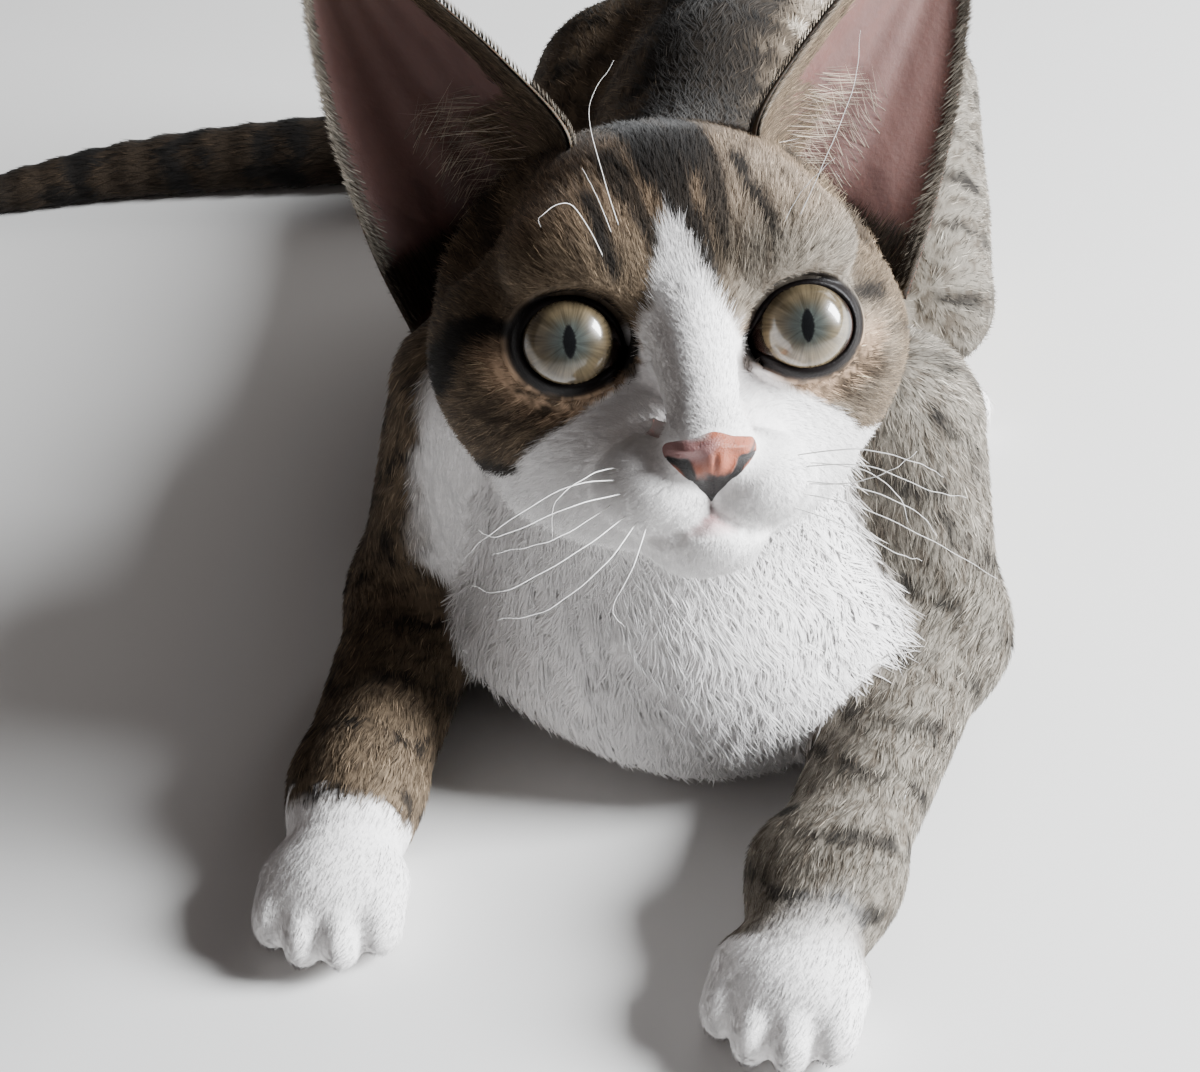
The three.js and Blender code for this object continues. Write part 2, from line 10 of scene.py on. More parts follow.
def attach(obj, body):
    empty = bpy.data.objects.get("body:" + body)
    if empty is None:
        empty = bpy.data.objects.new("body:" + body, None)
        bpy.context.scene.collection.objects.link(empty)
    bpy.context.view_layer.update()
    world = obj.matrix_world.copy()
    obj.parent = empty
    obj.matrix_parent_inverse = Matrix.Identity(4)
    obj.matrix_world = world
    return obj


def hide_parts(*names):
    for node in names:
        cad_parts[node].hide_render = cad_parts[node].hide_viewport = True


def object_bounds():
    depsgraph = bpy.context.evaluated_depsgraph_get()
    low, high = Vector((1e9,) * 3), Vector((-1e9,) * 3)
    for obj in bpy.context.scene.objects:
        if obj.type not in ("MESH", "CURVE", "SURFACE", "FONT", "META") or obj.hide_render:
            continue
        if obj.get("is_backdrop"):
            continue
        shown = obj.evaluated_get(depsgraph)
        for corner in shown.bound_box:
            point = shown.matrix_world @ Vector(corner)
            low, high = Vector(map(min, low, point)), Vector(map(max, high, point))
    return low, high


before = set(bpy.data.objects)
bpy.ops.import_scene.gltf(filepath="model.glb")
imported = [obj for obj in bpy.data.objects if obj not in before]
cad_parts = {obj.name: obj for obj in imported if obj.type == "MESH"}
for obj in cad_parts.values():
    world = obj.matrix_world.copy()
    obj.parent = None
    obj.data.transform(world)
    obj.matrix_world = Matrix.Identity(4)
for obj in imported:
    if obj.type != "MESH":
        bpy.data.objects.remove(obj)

CAD_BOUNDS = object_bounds()
MM = 0.001
rng = np.random.default_rng(7)

# Where the head is held, as in the solids
EYES = np.array([23.0, -190.0, 165.0])
HEAD_YAW, HEAD_PITCH, HEAD_ROLL = 18, 30, 4
PUPIL_GAP = 44.0
EYE_RADIUS = 10.8
EYE_DEPTH = 9.6
CHEST_WIDTH, BACK_HEIGHT, HIP_WIDTH = 100, 122, 92
TAIL_ROOT, TAIL_TIP = 16, 7.5
SIDES = {"left": 1, "right": -1}

# The camera, from the midpoint of the eyes, with the photograph's focal length in its own pixels
CAMERA_FROM_EYES = np.array([52.6, -330.5, 219.4])
CAMERA_RIGHT = (0.9848, 0.1629, -0.0665)
CAMERA_UP = (-0.0500, 0.6216, 0.7820)
FOCAL_PIXELS, FRAME_WIDTH, SENSOR = 2190, 1200, 36.0


# Fields: each takes an array of points and gives a distance that is negative inside the form.
def turned(rx, ry, rz):
    turn = Matrix.Rotation(math.radians(rz), 3, "Z") @ Matrix.Rotation(math.radians(rx), 3, "X")
    return np.array(turn @ Matrix.Rotation(math.radians(ry), 3, "Y"))


def blend(a, b, k):
    h = np.maximum(k - np.abs(a - b), 0) / k
    return np.minimum(a, b) - h * h * k * 0.25


def carve(a, b, k):
    return -blend(-a, b, k)


def joined(k, *fields):
    def field(p):
        d = fields[0](p)
        for other in fields[1:]:
            d = blend(d, other(p), k)
        return d
    return field


def egg(centre, radii, turns=(0, 0, 0)):
    turn = turned(*turns)
    centre, radii = np.array(centre, float), np.array(radii, float)

    def field(p):
        q = ((p - centre) @ turn) / radii
        near = np.sqrt((q * q).sum(-1))
        steep = np.sqrt(((q / radii) ** 2).sum(-1)) + 1e-9
        return near * (near - 1) / steep
    return field


def limb(a, ra, b, rb):
    a, b = np.array(a, float), np.array(b, float)
    along = b - a

    def field(p):
        t = np.clip(((p - a) @ along) / (along @ along), 0, 1)
        away = p - a - t[..., None] * along
        return np.sqrt((away * away).sum(-1)) - (ra + (rb - ra) * t)
    return field


HEAD_TURN = turned(-HEAD_PITCH, HEAD_ROLL, HEAD_YAW)


def to_head(p):
    return (p - EYES) @ HEAD_TURN


def from_head(p):
    return np.asarray(p) @ HEAD_TURN.T + EYES


def both(make):
    return [make(1), make(-1)]


def unit(v):
    return v / (np.linalg.norm(v, axis=-1, keepdims=True) + 1e-9)


def smooth(low, high, x):
    t = np.clip((x - low) / (high - low), 0, 1)
    return t * t * (3 - 2 * t)


# The head, in its own frame
skull = joined(
    12, egg((0, 41, 5.5), (45.5, 39, 36)), egg((0, 16, 17), (27, 19, 20)),
    *both(lambda s: egg((24 * s, 36, -12), (20, 25, 19))), egg((0, 26, -24), (27, 26, 17)))
face = joined(
    7, skull, *both(lambda s: egg((33 * s, 33, -3), (13.5, 23, 14))),
    *both(lambda s: egg((19 * s, 8, 15), (14, 12, 11))),
    *both(lambda s: limb((0, 0, -32), 11, (19 * s, 36, -23), 16)))
muzzle = joined(
    4, limb((0, 2, 2), 9, (0, -12.5, -15.5), 7), egg((0, -14.5, -18.5), (8.5, 8, 7)),
    *both(lambda s: egg((9.5 * s, -6, -26), (11.5, 12.5, 9.5))), egg((0, -6, -35.5), (10.5, 9.5, 6.8)))
lidded = joined(2.5, joined(6, face, muzzle), *both(lambda s: egg((21.6 * s, 9, 0), (13, 12.6, 12))))
EAR_HOLLOWS = both(lambda s: egg((37 * s, 30, 27), (10, 10, 14), (0, -30 * s, 0)))


def head_form(p):
    d = lidded(p)
    for hollow in EAR_HOLLOWS:
        d = carve(d, hollow(p), 6)
    return d


# The trunk and neck
NECK_TOP, NECK_FOOT = (11, -150, 124), (2, -92, 78)
breast = joined(14, egg((2, -95, 53), (49, 60, 57)), egg((13, -112, 34), (45, 46, 42)))
chest_form = joined(12, breast, egg((5, -104, 27), (62, 46, 36)))
ribs = egg((0, -35, 58), (CHEST_WIDTH / 2, 78, BACK_HEIGHT / 2))
ribs_form = joined(14, ribs, egg((0, -42, 36), (65, 68, 42)))
loin_form = egg((0, 45, 57), (46, 74, BACK_HEIGHT / 2))
hip_form = egg((0, 100, 55), (HIP_WIDTH / 2, 54, 62))
trunk = joined(16, chest_form, ribs_form, loin_form, hip_form, limb(NECK_TOP, 32, NECK_FOOT, 44))

# Limbs and tail
LEGS = {
    "left": dict(
        shoulder=(52, -90, 74), elbow=(65, -101, 20), wrist=(46, -182, 15.5), paw=(41, -210, 12)),
    "right": dict(
        shoulder=(-43, -92, 80), elbow=(-65, -98, 19), wrist=(-67, -165, 15.5), paw=(-66, -193, 12)),
}
HIP, KNEE, HEEL, BALL = (36, 96, 60), (59, 16, 42), (58, 104, 12), (62, 16, 10.5)
TOE_RADII, TOE_DROP = (6, 8.5, 8.5), 2.5


def toes(paw, turn, reach):
    spin = turned(0, 0, turn)
    spots = [(-12.5, -reach + 5), (-4.4, -reach), (4.4, -reach), (12.5, -reach + 5)]
    places = [spin @ np.array((tx, ty, -TOE_DROP)) + np.array(paw) for tx, ty in spots]
    return [egg(place, TOE_RADII, (0, 0, turn)) for place in places]


def foreleg(shoulder, elbow, wrist, paw):
    turn = math.degrees(math.atan2(paw[0] - wrist[0], wrist[1] - paw[1]))
    upper = joined(8, limb(shoulder, 27, elbow, 20), egg(elbow, (20, 22, 22)))
    pad = egg(paw, (18.5, 16, 13), (0, 0, turn))
    foot = joined(3, limb(wrist, 16.8, paw, 12.5), pad, *toes(paw, turn, 13))
    return joined(8, upper, limb(elbow, 20, wrist, 17), foot)


def mirrored(point, side):
    return (point[0] * side, point[1], point[2])


def hind_leg(side):
    hip, knee, heel, ball = (mirrored(point, side) for point in (HIP, KNEE, HEEL, BALL))
    thigh = joined(10, limb(hip, 37, knee, 21), egg(mirrored((52, 60, 30), side), (25, 48, 32)))
    foot = joined(3, limb(heel, 12, ball, 10), egg(ball, (14, 14, 11)), *toes(ball, 0, 9))
    return joined(5, thigh, foot)


TAIL_POINTS = [
    (12, 140, 30), (-16, 158, 16), (-70, 162, 14.4), (-160, 150, 13), (-232, 138, 10), (-287, 120, 6.2)]


def curve_through(points, count):
    points = np.array(points, float)
    ends = np.vstack([2 * points[0] - points[1], points, 2 * points[-1] - points[-2]])
    spots = np.linspace(0, len(points) - 1 - 1e-9, count)
    i = spots.astype(int)
    t = (spots - i)[:, None]
    a, b, c, d = ends[i], ends[i + 1], ends[i + 2], ends[i + 3]
    return 0.5 * (2 * b + (c - a) * t + (2 * a - 5 * b + 4 * c - d) * t**2 + (3 * b - a - 3 * c + d) * t**3)


TAIL_LINE = curve_through(TAIL_POINTS, 25)
tail_radii = TAIL_ROOT + (TAIL_TIP - TAIL_ROOT) * np.linspace(0, 1, len(TAIL_LINE)) ** 2.8
tail_ends = list(zip(TAIL_LINE, tail_radii))
tail_form = joined(2, *[limb(*a, *b) for a, b in zip(tail_ends, tail_ends[1:])])

REGIONS = {
    "head": lambda p: head_form(to_head(p)),
    "trunk": trunk,
    "foreleg_left": foreleg(**LEGS["left"]),
    "foreleg_right": foreleg(**LEGS["right"]),
    "hindleg_left": hind_leg(SIDES["left"]),
    "hindleg_right": hind_leg(SIDES["right"]),
    "tail": tail_form,
}
REGION_NAMES = list(REGIONS)
REGION_BLEND = {
    "foreleg_left": 9, "foreleg_right": 9, "hindleg_left": 12, "hindleg_right": 12, "tail": 9, "head": 10}


def body_form(p):
    d = REGIONS["trunk"](p)
    for name, k in REGION_BLEND.items():
        d = blend(d, REGIONS[name](p), k)
    return d


# The skin lies inside the solids by the depth of the coat.
COAT_HEAD, COAT_BODY, COAT_CHEST, COAT_FOOT = 0.9, 2.2, 4.0, 1.0


def coat_depth(p):
    x, y, z = p[..., 0], p[..., 1], p[..., 2]
    q = to_head(p)
    in_head = smooth(62, 40, q[..., 1]) * smooth(-52, -42, q[..., 2])
    breast_front = smooth(-105, -140, y) * smooth(120, 95, z) * smooth(62, 40, np.abs(x - 4))
    foot = smooth(34, 22, z) * smooth(-165, -180, y)
    depth = COAT_BODY + (COAT_CHEST - COAT_BODY) * breast_front
    depth = depth + (COAT_FOOT - depth) * foot
    return depth + (COAT_HEAD - depth) * in_head


# The mouth's line as x and z in the head's frame, and the opening between the lids
MOUTH = [(0, -30.4), (2.6, -32.9), (7, -35.2), (13.2, -35.6)]
MOUTH_STEPS, GROOVE_RADIUS = 15, 1.15
LID_WIDE, LID_HIGH, LID_CORNER, LID_DROP = 9.8, 8.4, 11.6, 2.6
SOCKET_MARGIN = 1.6


def face_at(x, z):
    y = np.full(np.shape(x), -40.0)
    for _ in range(50):
        y = y + 0.7 * (head_form(np.stack([x, y, z], -1)) + COAT_HEAD)
    return y


def mouth_line(side):
    points = curve_through([(x * side, 0, z) for x, z in MOUTH], MOUTH_STEPS + 1)
    points[:, 1] = face_at(points[:, 0], points[:, 2])
    return points


MOUTH_LINES = both(mouth_line)
mouth_groove = joined(0.5, *[
    limb(line[i], GROOVE_RADIUS, line[i + 1], GROOVE_RADIUS)
    for line in MOUTH_LINES for i in range(0, MOUTH_STEPS, 3)])


def skin_form(p):
    d = body_form(p) + coat_depth(p)
    q = to_head(p)
    near = (np.abs(q[..., 0]) < 40) & (q[..., 1] < 20) & (np.abs(q[..., 2]) < 60)
    if near.any():
        r = q[near]
        cut = carve(d[near], mouth_groove(r), 1.2)
        for side in SIDES.values():
            x = (r[:, 0] - side * PUPIL_GAP / 2) * side
            ring = np.hypot(x / (LID_WIDE + SOCKET_MARGIN), r[:, 2] / (LID_HIGH + SOCKET_MARGIN)) - 1
            cut = carve(cut, np.maximum(ring * 9, r[:, 1] - 12), 1.0)
        d = d.copy()
        d[near] = cut
    return np.maximum(d, -p[..., 2])


# A closed surface round a field, on uneven grid lines, worked out only in the blocks that it crosses.
BLOCK = 20


def sampled(field, *grids):
    shape = tuple(len(grid) for grid in grids)
    value = np.empty(shape, np.float32)
    for start in np.ndindex(*(math.ceil(n / BLOCK) for n in shape)):
        block = tuple(slice(n * BLOCK, (n + 1) * BLOCK) for n in start)
        axes = [grid[part] for grid, part in zip(grids, block)]
        centre = np.array([[(a[0] + a[-1]) / 2 for a in axes]])
        reach = 0.5 * math.dist([a[0] for a in axes], [a[-1] for a in axes])
        d = field(centre)[0]
        if abs(d) > 1.25 * reach + 5:
            value[block] = d
            continue
        grid = np.stack(np.meshgrid(*axes, indexing="ij"), -1)
        value[block] = field(grid.reshape(-1, 3)).reshape(grid.shape[:3])
    return value


def surface_of(field, gx, gy, gz):
    grids = [np.asarray(g, float) for g in (gx, gy, gz)]
    value = sampled(field, *grids)
    value[0], value[-1] = np.maximum(value[0], 0.01), np.maximum(value[-1], 0.01)
    value[:, 0], value[:, -1] = np.maximum(value[:, 0], 0.01), np.maximum(value[:, -1], 0.01)
    value[:, :, 0], value[:, :, -1] = np.maximum(value[:, :, 0], 0.01), np.maximum(value[:, :, -1], 0.01)
    shape = value.shape
    step = (shape[1] * shape[2], shape[2], 1)
    flat = value.reshape(-1)
    cells, spots, rings = [], [], []
    for axis in range(3):
        low = [slice(None)] * 3
        high = [slice(None)] * 3
        low[axis], high[axis] = slice(0, -1), slice(1, None)
        at = np.argwhere((value[tuple(low)] < 0) != (value[tuple(high)] < 0))
        ids = at @ np.array(step)
        a, b = flat[ids], flat[ids + step[axis]]
        t = a / (a - b)
        spot = np.stack([grids[n][at[:, n]] for n in range(3)], -1)
        spot[:, axis] += t * (grids[axis][at[:, axis] + 1] - grids[axis][at[:, axis]])
        u, v = step[(axis + 1) % 3], step[(axis + 2) % 3]
        ring = np.stack([ids - u - v, ids - v, ids, ids - u], -1)
        ring[a >= 0] = ring[a >= 0][:, ::-1]
        rings.append(ring)
        for n in range(4):
            cells.append(ring[:, n])
            spots.append(spot)
    used, index = np.unique(np.concatenate(cells), return_inverse=True)
    spots = np.concatenate(spots)
    count = np.bincount(index)
    corners = np.stack([np.bincount(index, spots[:, n]) / count for n in range(3)], -1)
    faces = np.searchsorted(used, np.concatenate(rings))
    return drawn_onto(field, corners), faces


def gradient(field, p, e=0.08):
    d = field(p)
    slope = np.stack([field(p + np.eye(3)[n] * e) - d for n in range(3)], -1) / e
    return d, slope


def drawn_onto(field, p, passes=2):
    for _ in range(passes):
        d, slope = gradient(field, p)
        p = p - 0.8 * slope * (d / np.maximum((slope**2).sum(-1), 0.3))[:, None]
    return p


def lines(*stretches):
    """Grid lines through stretches of (low, high, step)."""
    parts = [
        np.linspace(low, high, math.ceil((high - low) / step), endpoint=False)
        for low, high, step in stretches]
    return np.append(np.concatenate(parts), stretches[-1][1])


# The markings, as one function of place. Colours are as the eye sees them, in sRGB from 0 to 1.
def srgb(r, g, b):
    c = np.array([r, g, b]) / 255
    return np.where(c <= 0.04045, c / 12.92, ((c + 0.055) / 1.055) ** 2.4)


WHITE = srgb(230, 227, 226)
BROWN = srgb(98, 84, 68)
BEIGE = srgb(160, 148, 132)
PALE = srgb(196, 186, 172)
BUFF = srgb(158, 132, 108)
# Grey buff: the pale tips of the ear's rim hairs, and the painted light on the lit side of the face and legs
GREY_BUFF = srgb(114, 108, 99)
DARK = srgb(22, 19, 17)
DARK_BROWN = srgb(54, 44, 34)
PINK = srgb(172, 92, 94)
# The painted shadow in the crease of the mouth and in the split of the upper lip
MOUTH_SHADOW = srgb(58, 32, 30)


def noise(p, size, seed=0):
    """Smooth noise from -1 to 1 over about the given size, from turned sine waves."""
    total = np.zeros(p.shape[:-1])
    waves = np.random.default_rng(100 + seed)
    for n in range(7):
        way = waves.normal(size=3)
        way /= np.linalg.norm(way)
        length = size * (0.6 + 1.5 * waves.random())
        total = total + np.sin(p @ way * (2 * math.pi / length) + waves.random() * 6.28 + 1.3 * total)
    return total / 3.2


def flat_limb(x, z, a, ra, b, rb):
    """Distance in the face's plane from a limb with a radius at each end."""
    along = np.subtract(b, a)
    t = np.clip(((x - a[0]) * along[0] + (z - a[1]) * along[1]) / (along @ along), 0, 1)
    return np.hypot(x - a[0] - t * along[0], z - a[1] - t * along[1]) - (ra + (rb - ra) * t)


def stroke(x, z, points, widths, soft=0.9):
    """How far a point of the face lies in a brush stroke, from 0 to 1."""
    ends = list(zip(points, widths))
    reaches = [flat_limb(x, z, *a, *b) for a, b in zip(ends, ends[1:])]
    return smooth(soft, -soft, np.minimum.reduce(reaches))


def mixed(colour, other, amount):
    return colour + (other - colour) * np.clip(amount, 0, 1)[..., None]


# Dark strokes of the forehead and cheeks: points as x and z in the head's frame, half widths, and strength
STROKE_WIDTH = 1.4
FACE_STROKES = [
    ([(-16.3, 24), (-15.2, 17), (-13, 11)], (1.2, 1.2, 0.6), 0.95),
    ([(-12.5, 31), (-9.5, 25), (-7, 19), (-5.6, 14)], (1.8, 1.8, 1.2, 0.5), 0.85),
    ([(-6, 38), (-2.5, 31), (-1.5, 25), (1.6, 17), (4.8, 9)], (2.5, 4.2, 2.2, 1.5, 0.6), 0.95),
    ([(3, 37), (5.5, 28), (5.6, 20), (6.6, 13)], (2.4, 1.9, 1.3, 0.5), 0.9),
    ([(11, 30), (13.2, 23), (16, 15.6)], (1.4, 1.3, 0.7), 0.95),
    ([(-46, -8), (-44, -2), (-41, 2), (-36, 3.6), (-32.5, 2.8)], (1.6, 2.0, 1.9, 1.5, 1.0), 0.97),
    ([(-42, -23.5), (-36, -24.2), (-30.5, -24)], (1.0, 1.4, 0.8), 0.9),
    ([(33.6, 5.4), (37.6, 4.6)], (1.0, 1.3), 0.9),
    ([(-46, 8), (-50, 2), (-51, -6)], (0.8, 1.1, 0.8), 0.5),
    ([(40, -2), (46, -3)], (0.8, 0.8), 0.5),
]
# The white blaze, from a point on the forehead down over the muzzle and the lower cheeks: its half width and
# its middle, each at a height in the head's frame
BLAZE_HALF = [
    (-40, 60), (-20, 31), (-14, 22), (-9, 14.5), (-4.7, 10.8), (1.3, 8.9), (7.3, 6.0), (12.2, 4.0), (17, 1.9),
    (23.5, 0), (27, -5)]
BLAZE_MIDDLE = [(-20, 2), (-5, 1.0), (1, -0.6), (7, -1.4), (12, -2.0), (17, -2.4), (24, -3.4)]
BLAZE_WIDEST, CHIN_WIDTH = 34, 90


def head_colour(q):
    x, y, z = q[..., 0], q[..., 1], q[..., 2]
    wobble = noise(q, 7, 1)
    # Painted light: the front of the face is made greyer and lighter toward +x, the lit side, and stays
    # warmer brown toward the shaded side
    colour = mixed(BROWN, GREY_BUFF, smooth(2, 12, x) * smooth(20, 6, y) * 0.75)
    colour = mixed(colour, BUFF, smooth(14, 24, z) * smooth(30, 10, y) * 0.30)
    ring = np.hypot((np.abs(x) - 22) / 15.5, (z + 1) / 13.5)
    front = smooth(34, 20, y)
    colour = mixed(colour, BUFF, smooth(1.12, 0.9, ring) * smooth(4, -5, z) * front)
    ticks = noise(q * np.array([1, 1, 0.45]), 2.6, 3)
    colour = mixed(colour, DARK_BROWN, smooth(-0.1, 0.9, ticks) * 0.7)
    crown = smooth(24, 34, z + wobble) * smooth(11, 5, np.abs(x + 1.5)) * smooth(74, 60, y)
    colour = mixed(colour, DARK, crown * 0.8)
    nape_stripes = smooth(0.1, 0.6, np.sin(x * 0.52 + 0.6 * wobble)) * smooth(24, 36, y) * smooth(8, 20, z)
    colour = mixed(colour, DARK, nape_stripes * 0.7)
    patch = smooth(1.15, 0.6, np.hypot((x + 31) / 13.5, (z + 14.5 - 0.14 * (x + 31)) / 8.2) + 0.12 * wobble)
    colour = mixed(colour, DARK_BROWN, patch * front * smooth(-0.7, 0.4, noise(q, 3.0, 5)))
    patch = smooth(1.15, 0.5, np.hypot((x - 32) / 8.0, (z + 9.5) / 7.2) + 0.12 * wobble)
    colour = mixed(colour, DARK_BROWN, patch * front * smooth(-0.7, 0.4, noise(q, 2.6, 6)))
    for points, widths, strength in FACE_STROKES:
        wide = np.multiply(widths, STROKE_WIDTH)
        colour = mixed(colour, DARK, stroke(x + 0.5 * wobble, z, points, wide) * strength * smooth(52, 40, y))
    low = -25.2 + 4.4 * smooth(-10, 25, x)
    half = np.minimum(np.interp(z, *zip(*BLAZE_HALF)), BLAZE_WIDEST)
    half = np.where(z < low, CHIN_WIDTH, half)
    middle = np.interp(z, *zip(*BLAZE_MIDDLE))
    white = smooth(1.2, -1.2, np.abs(x - middle) - half + 0.9 * wobble)
    colour = mixed(colour, WHITE, white * smooth(38, 28, y + 0.5 * (z + 30)))
    # Darker brown at the inner corner of each eye, and the dark skin round the lids
    for side in (1, -1):
        corner = np.hypot((x - 10.9 * side) / 1.7, (z + 5.6) / 2.6)
        colour = mixed(colour, DARK_BROWN, smooth(1.3, 0.5, corner) * 0.9)
        outline = lid_reach((x - side * PUPIL_GAP / 2) * side, z)
        colour = mixed(colour, DARK, smooth(1.5, 0.8, outline) * front)
    colour = mixed(colour, PINK, lower_lip(x, z) * smooth(0, -8, y))
    # Painted shadow in the crease of the mouth, and down the split of the upper lip
    colour = mixed(colour, MOUTH_SHADOW, smooth(1.3, 0.3, mouth_distance(q)) * 0.75)
    return mixed(colour, MOUTH_SHADOW, stroke(x, z, [(0, -27.5), (0, -31)], (0.3, 0.3), 0.35) * smooth(0, -8, y))


def lower_lip(x, z):
    """The pink of the lower lip, from 0 to 1, under the parting of the upper lips."""
    edge = np.interp(np.abs(x), [0, 2.6, 7], [-30.6, -33.1, -35.4])
    return smooth(0.5, -0.3, z - edge) * smooth(-35.6, -34.4, z) * smooth(5.6, 4.2, np.abs(x))


def lid_reach(x, z):
    """Millimetres outside the opening between the lids; x runs to the outer corner."""
    turn = np.arctan2(z + LID_DROP * smooth(-6, -12, x), x)
    c, s = np.cos(turn), np.sin(turn)
    inward = np.maximum(0, -c) ** 6
    radius = 1 / np.hypot(c / (LID_WIDE + (LID_CORNER - LID_WIDE) * inward), s / LID_HIGH)
    return np.hypot(x, z) - radius


def lid_distance(q):
    """Millimetres from the nearer of the two openings between the lids."""
    return np.minimum(*[lid_reach((q[:, 0] - s * PUPIL_GAP / 2) * s, q[:, 2]) for s in SIDES.values()])


def mouth_distance(q):
    d = np.full(q.shape[:-1], 1e9)
    for line in MOUTH_LINES:
        for n in range(0, MOUTH_STEPS, 5):
            d = np.minimum(d, limb(line[n], 0, line[n + 5], 0)(q))
    return d


def bands(along, period, seed, p, sharp=0.35):
    wave = np.sin(2 * math.pi * along / period + 1.1 * noise(p, 24, seed)) + 0.35 * noise(p, 9, seed + 1)
    return smooth(sharp, sharp + 0.5, wave)


def body_colour(p):
    x, y, z = p[..., 0], p[..., 1], p[..., 2]
    wobble = noise(p, 16, 11)
    colour = mixed(BROWN, PALE, smooth(8, 46, x + 8 * wobble) * smooth(-150, -90, y) * 0.85)
    ticks = noise(p, 4.5, 12)
    colour = mixed(colour, DARK_BROWN, smooth(0.0, 0.9, ticks) * 0.5)
    # Dark bands round the trunk, and a saddle along the spine
    side_bands = bands(y + 0.35 * z, 34, 13, p) * smooth(15, 45, np.abs(x) + 0.3 * (110 - z))
    colour = mixed(colour, DARK_BROWN, side_bands * 0.55)
    saddle = smooth(26, 14, np.abs(x + 4) + 6 * wobble) * smooth(92, 104, z)
    return mixed(colour, DARK, saddle * 0.92)


def leg_colour(p, along, seed):
    # Painted light: each leg is greyer and lighter toward +x, the lit side, and browner toward the shaded
    # side
    colour = mixed(BROWN, GREY_BUFF, smooth(-20, 50, p[..., 0]))
    ticks = noise(p * np.array([1, 1, 0.6]), 3.2, seed)
    colour = mixed(colour, DARK_BROWN, smooth(-0.2, 0.7, ticks) * 0.7)
    rings = bands(along, 19, seed + 1, p, 0.5) * smooth(-0.9, 0.3, noise(p, 11, seed + 2))
    return mixed(colour, DARK, rings * 0.9)


# How far past the wrist each foreleg's white begins, at the floor
SOCK = {"left": 21.0, "right": 6.0}
THROAT_WAY = np.array([0, -0.62, -0.78])


def bib_share(p, near):
    """The white bib, from under the jaw down the breast and under the belly, from 0 to 1."""
    x, y, z = p[..., 0], p[..., 1], p[..., 2]
    wobble = noise(p, 14, 23)
    sideways = np.maximum(np.maximum(x - 42, -50 - x), 0)
    throat = (p - np.array(NECK_FOOT)) @ THROAT_WAY
    over_shoulder = 16 * smooth(36, 52, z) * smooth(108, 96, z)
    bib = smooth(-100, -110, y + 0.8 * sideways + 4 * wobble) * smooth(138, 126, z - 0.25 * (y + 150))
    bib = bib * smooth(-2, 3, near["foreleg_left"] - near["trunk"])
    bib = bib * smooth(-16, -8, throat + 2 * wobble)
    bib = bib * (1 - smooth(-24, -32, x) * smooth(92, 100, z + 2 * wobble))
    return bib * smooth(-3, 3, near["foreleg_right"] - near["trunk"] + over_shoulder)


def skin_colour(p):
    """The colour at each point, blended between the regions that it is nearest to."""
    x, y, z = p[..., 0], p[..., 1], p[..., 2]
    q = to_head(p)
    near = {name: field(p) for name, field in REGIONS.items()}
    colour = body_colour(p)
    for name, leg in LEGS.items():
        elbow, wrist = np.array(leg["elbow"], float), np.array(leg["wrist"], float)
        reach = wrist - elbow
        arm = leg_colour(p, (p - elbow) @ reach / np.linalg.norm(reach) - 0.6 * z, 30 + SIDES[name])
        toward = reach[:2] / np.linalg.norm(reach[:2])
        past = (p[..., :2] - wrist[:2]) @ toward - 0.30 * z - SOCK[name] + 2.0 * noise(p, 8, 21)
        arm = mixed(arm, WHITE, smooth(-1.5, 1.5, past))
        colour = mixed(colour, arm, smooth(3, -3, near["foreleg_" + name] - near["trunk"]))
        thigh = leg_colour(p, y * 0.8 + 0.7 * z, 40 + SIDES[name])
        thigh = mixed(thigh, BEIGE, smooth(34, 24, z) * 0.6)
        thigh = mixed(thigh, WHITE, smooth(24, 16, z) * smooth(22, 12, y + 2 * noise(p, 9, 22)))
        others = np.minimum(near["trunk"], near["foreleg_" + name])
        colour = mixed(colour, thigh, smooth(4, -4, near["hindleg_" + name] - others))
    # Painted shade: the tail's dark brown is darkened further by 0.7, under its own black bands; the dark tip
    # is its own colour
    tail = mixed(DARK_BROWN * 0.7, DARK, bands(x - 0.25 * y, 36, 50, p, 0.1))
    tail = mixed(tail, DARK, smooth(-262, -280, x))
    colour = mixed(colour, tail, smooth(3, -3, near["tail"] - near["trunk"]))
    colour = mixed(colour, WHITE, bib_share(p, near))
    head_share = smooth(4, -4, near["head"] - near["trunk"]) * smooth(66, 52, q[..., 1])
    colour = mixed(colour, head_colour(q), head_share)
    under_jaw = smooth(-28, -38, q[..., 2]) * smooth(60, 44, q[..., 1]) * smooth(42, 34, np.abs(q[..., 0]))
    return mixed(colour, WHITE, under_jaw)


# Materials
def node_material(name, roughness=0.6, specular=0.4, coat=0.0, sheen=0.0, subsurface=0.0):
    material = bpy.data.materials.new(name)
    material.use_nodes = True
    shader = material.node_tree.nodes["Principled BSDF"]
    shader.inputs["Roughness"].default_value = roughness
    shader.inputs["Specular IOR Level"].default_value = specular
    shader.inputs["Coat Weight"].default_value = coat
    shader.inputs["Coat Roughness"].default_value = 0.03
    shader.inputs["Sheen Weight"].default_value = sheen
    shader.inputs["Subsurface Weight"].default_value = subsurface
    shader.inputs["Subsurface Radius"].default_value = (0.004, 0.0015, 0.001)
    return material, material.node_tree, shader


def noise_node(tree, scale, detail=4.0, roughness=0.6):
    texture = tree.nodes.new("ShaderNodeTexNoise")
    texture.inputs["Scale"].default_value = scale
    texture.inputs["Detail"].default_value = detail
    texture.inputs["Roughness"].default_value = roughness
    place = tree.nodes.new("ShaderNodeTexCoord")
    tree.links.new(place.outputs["Object"], texture.inputs["Vector"])
    return texture


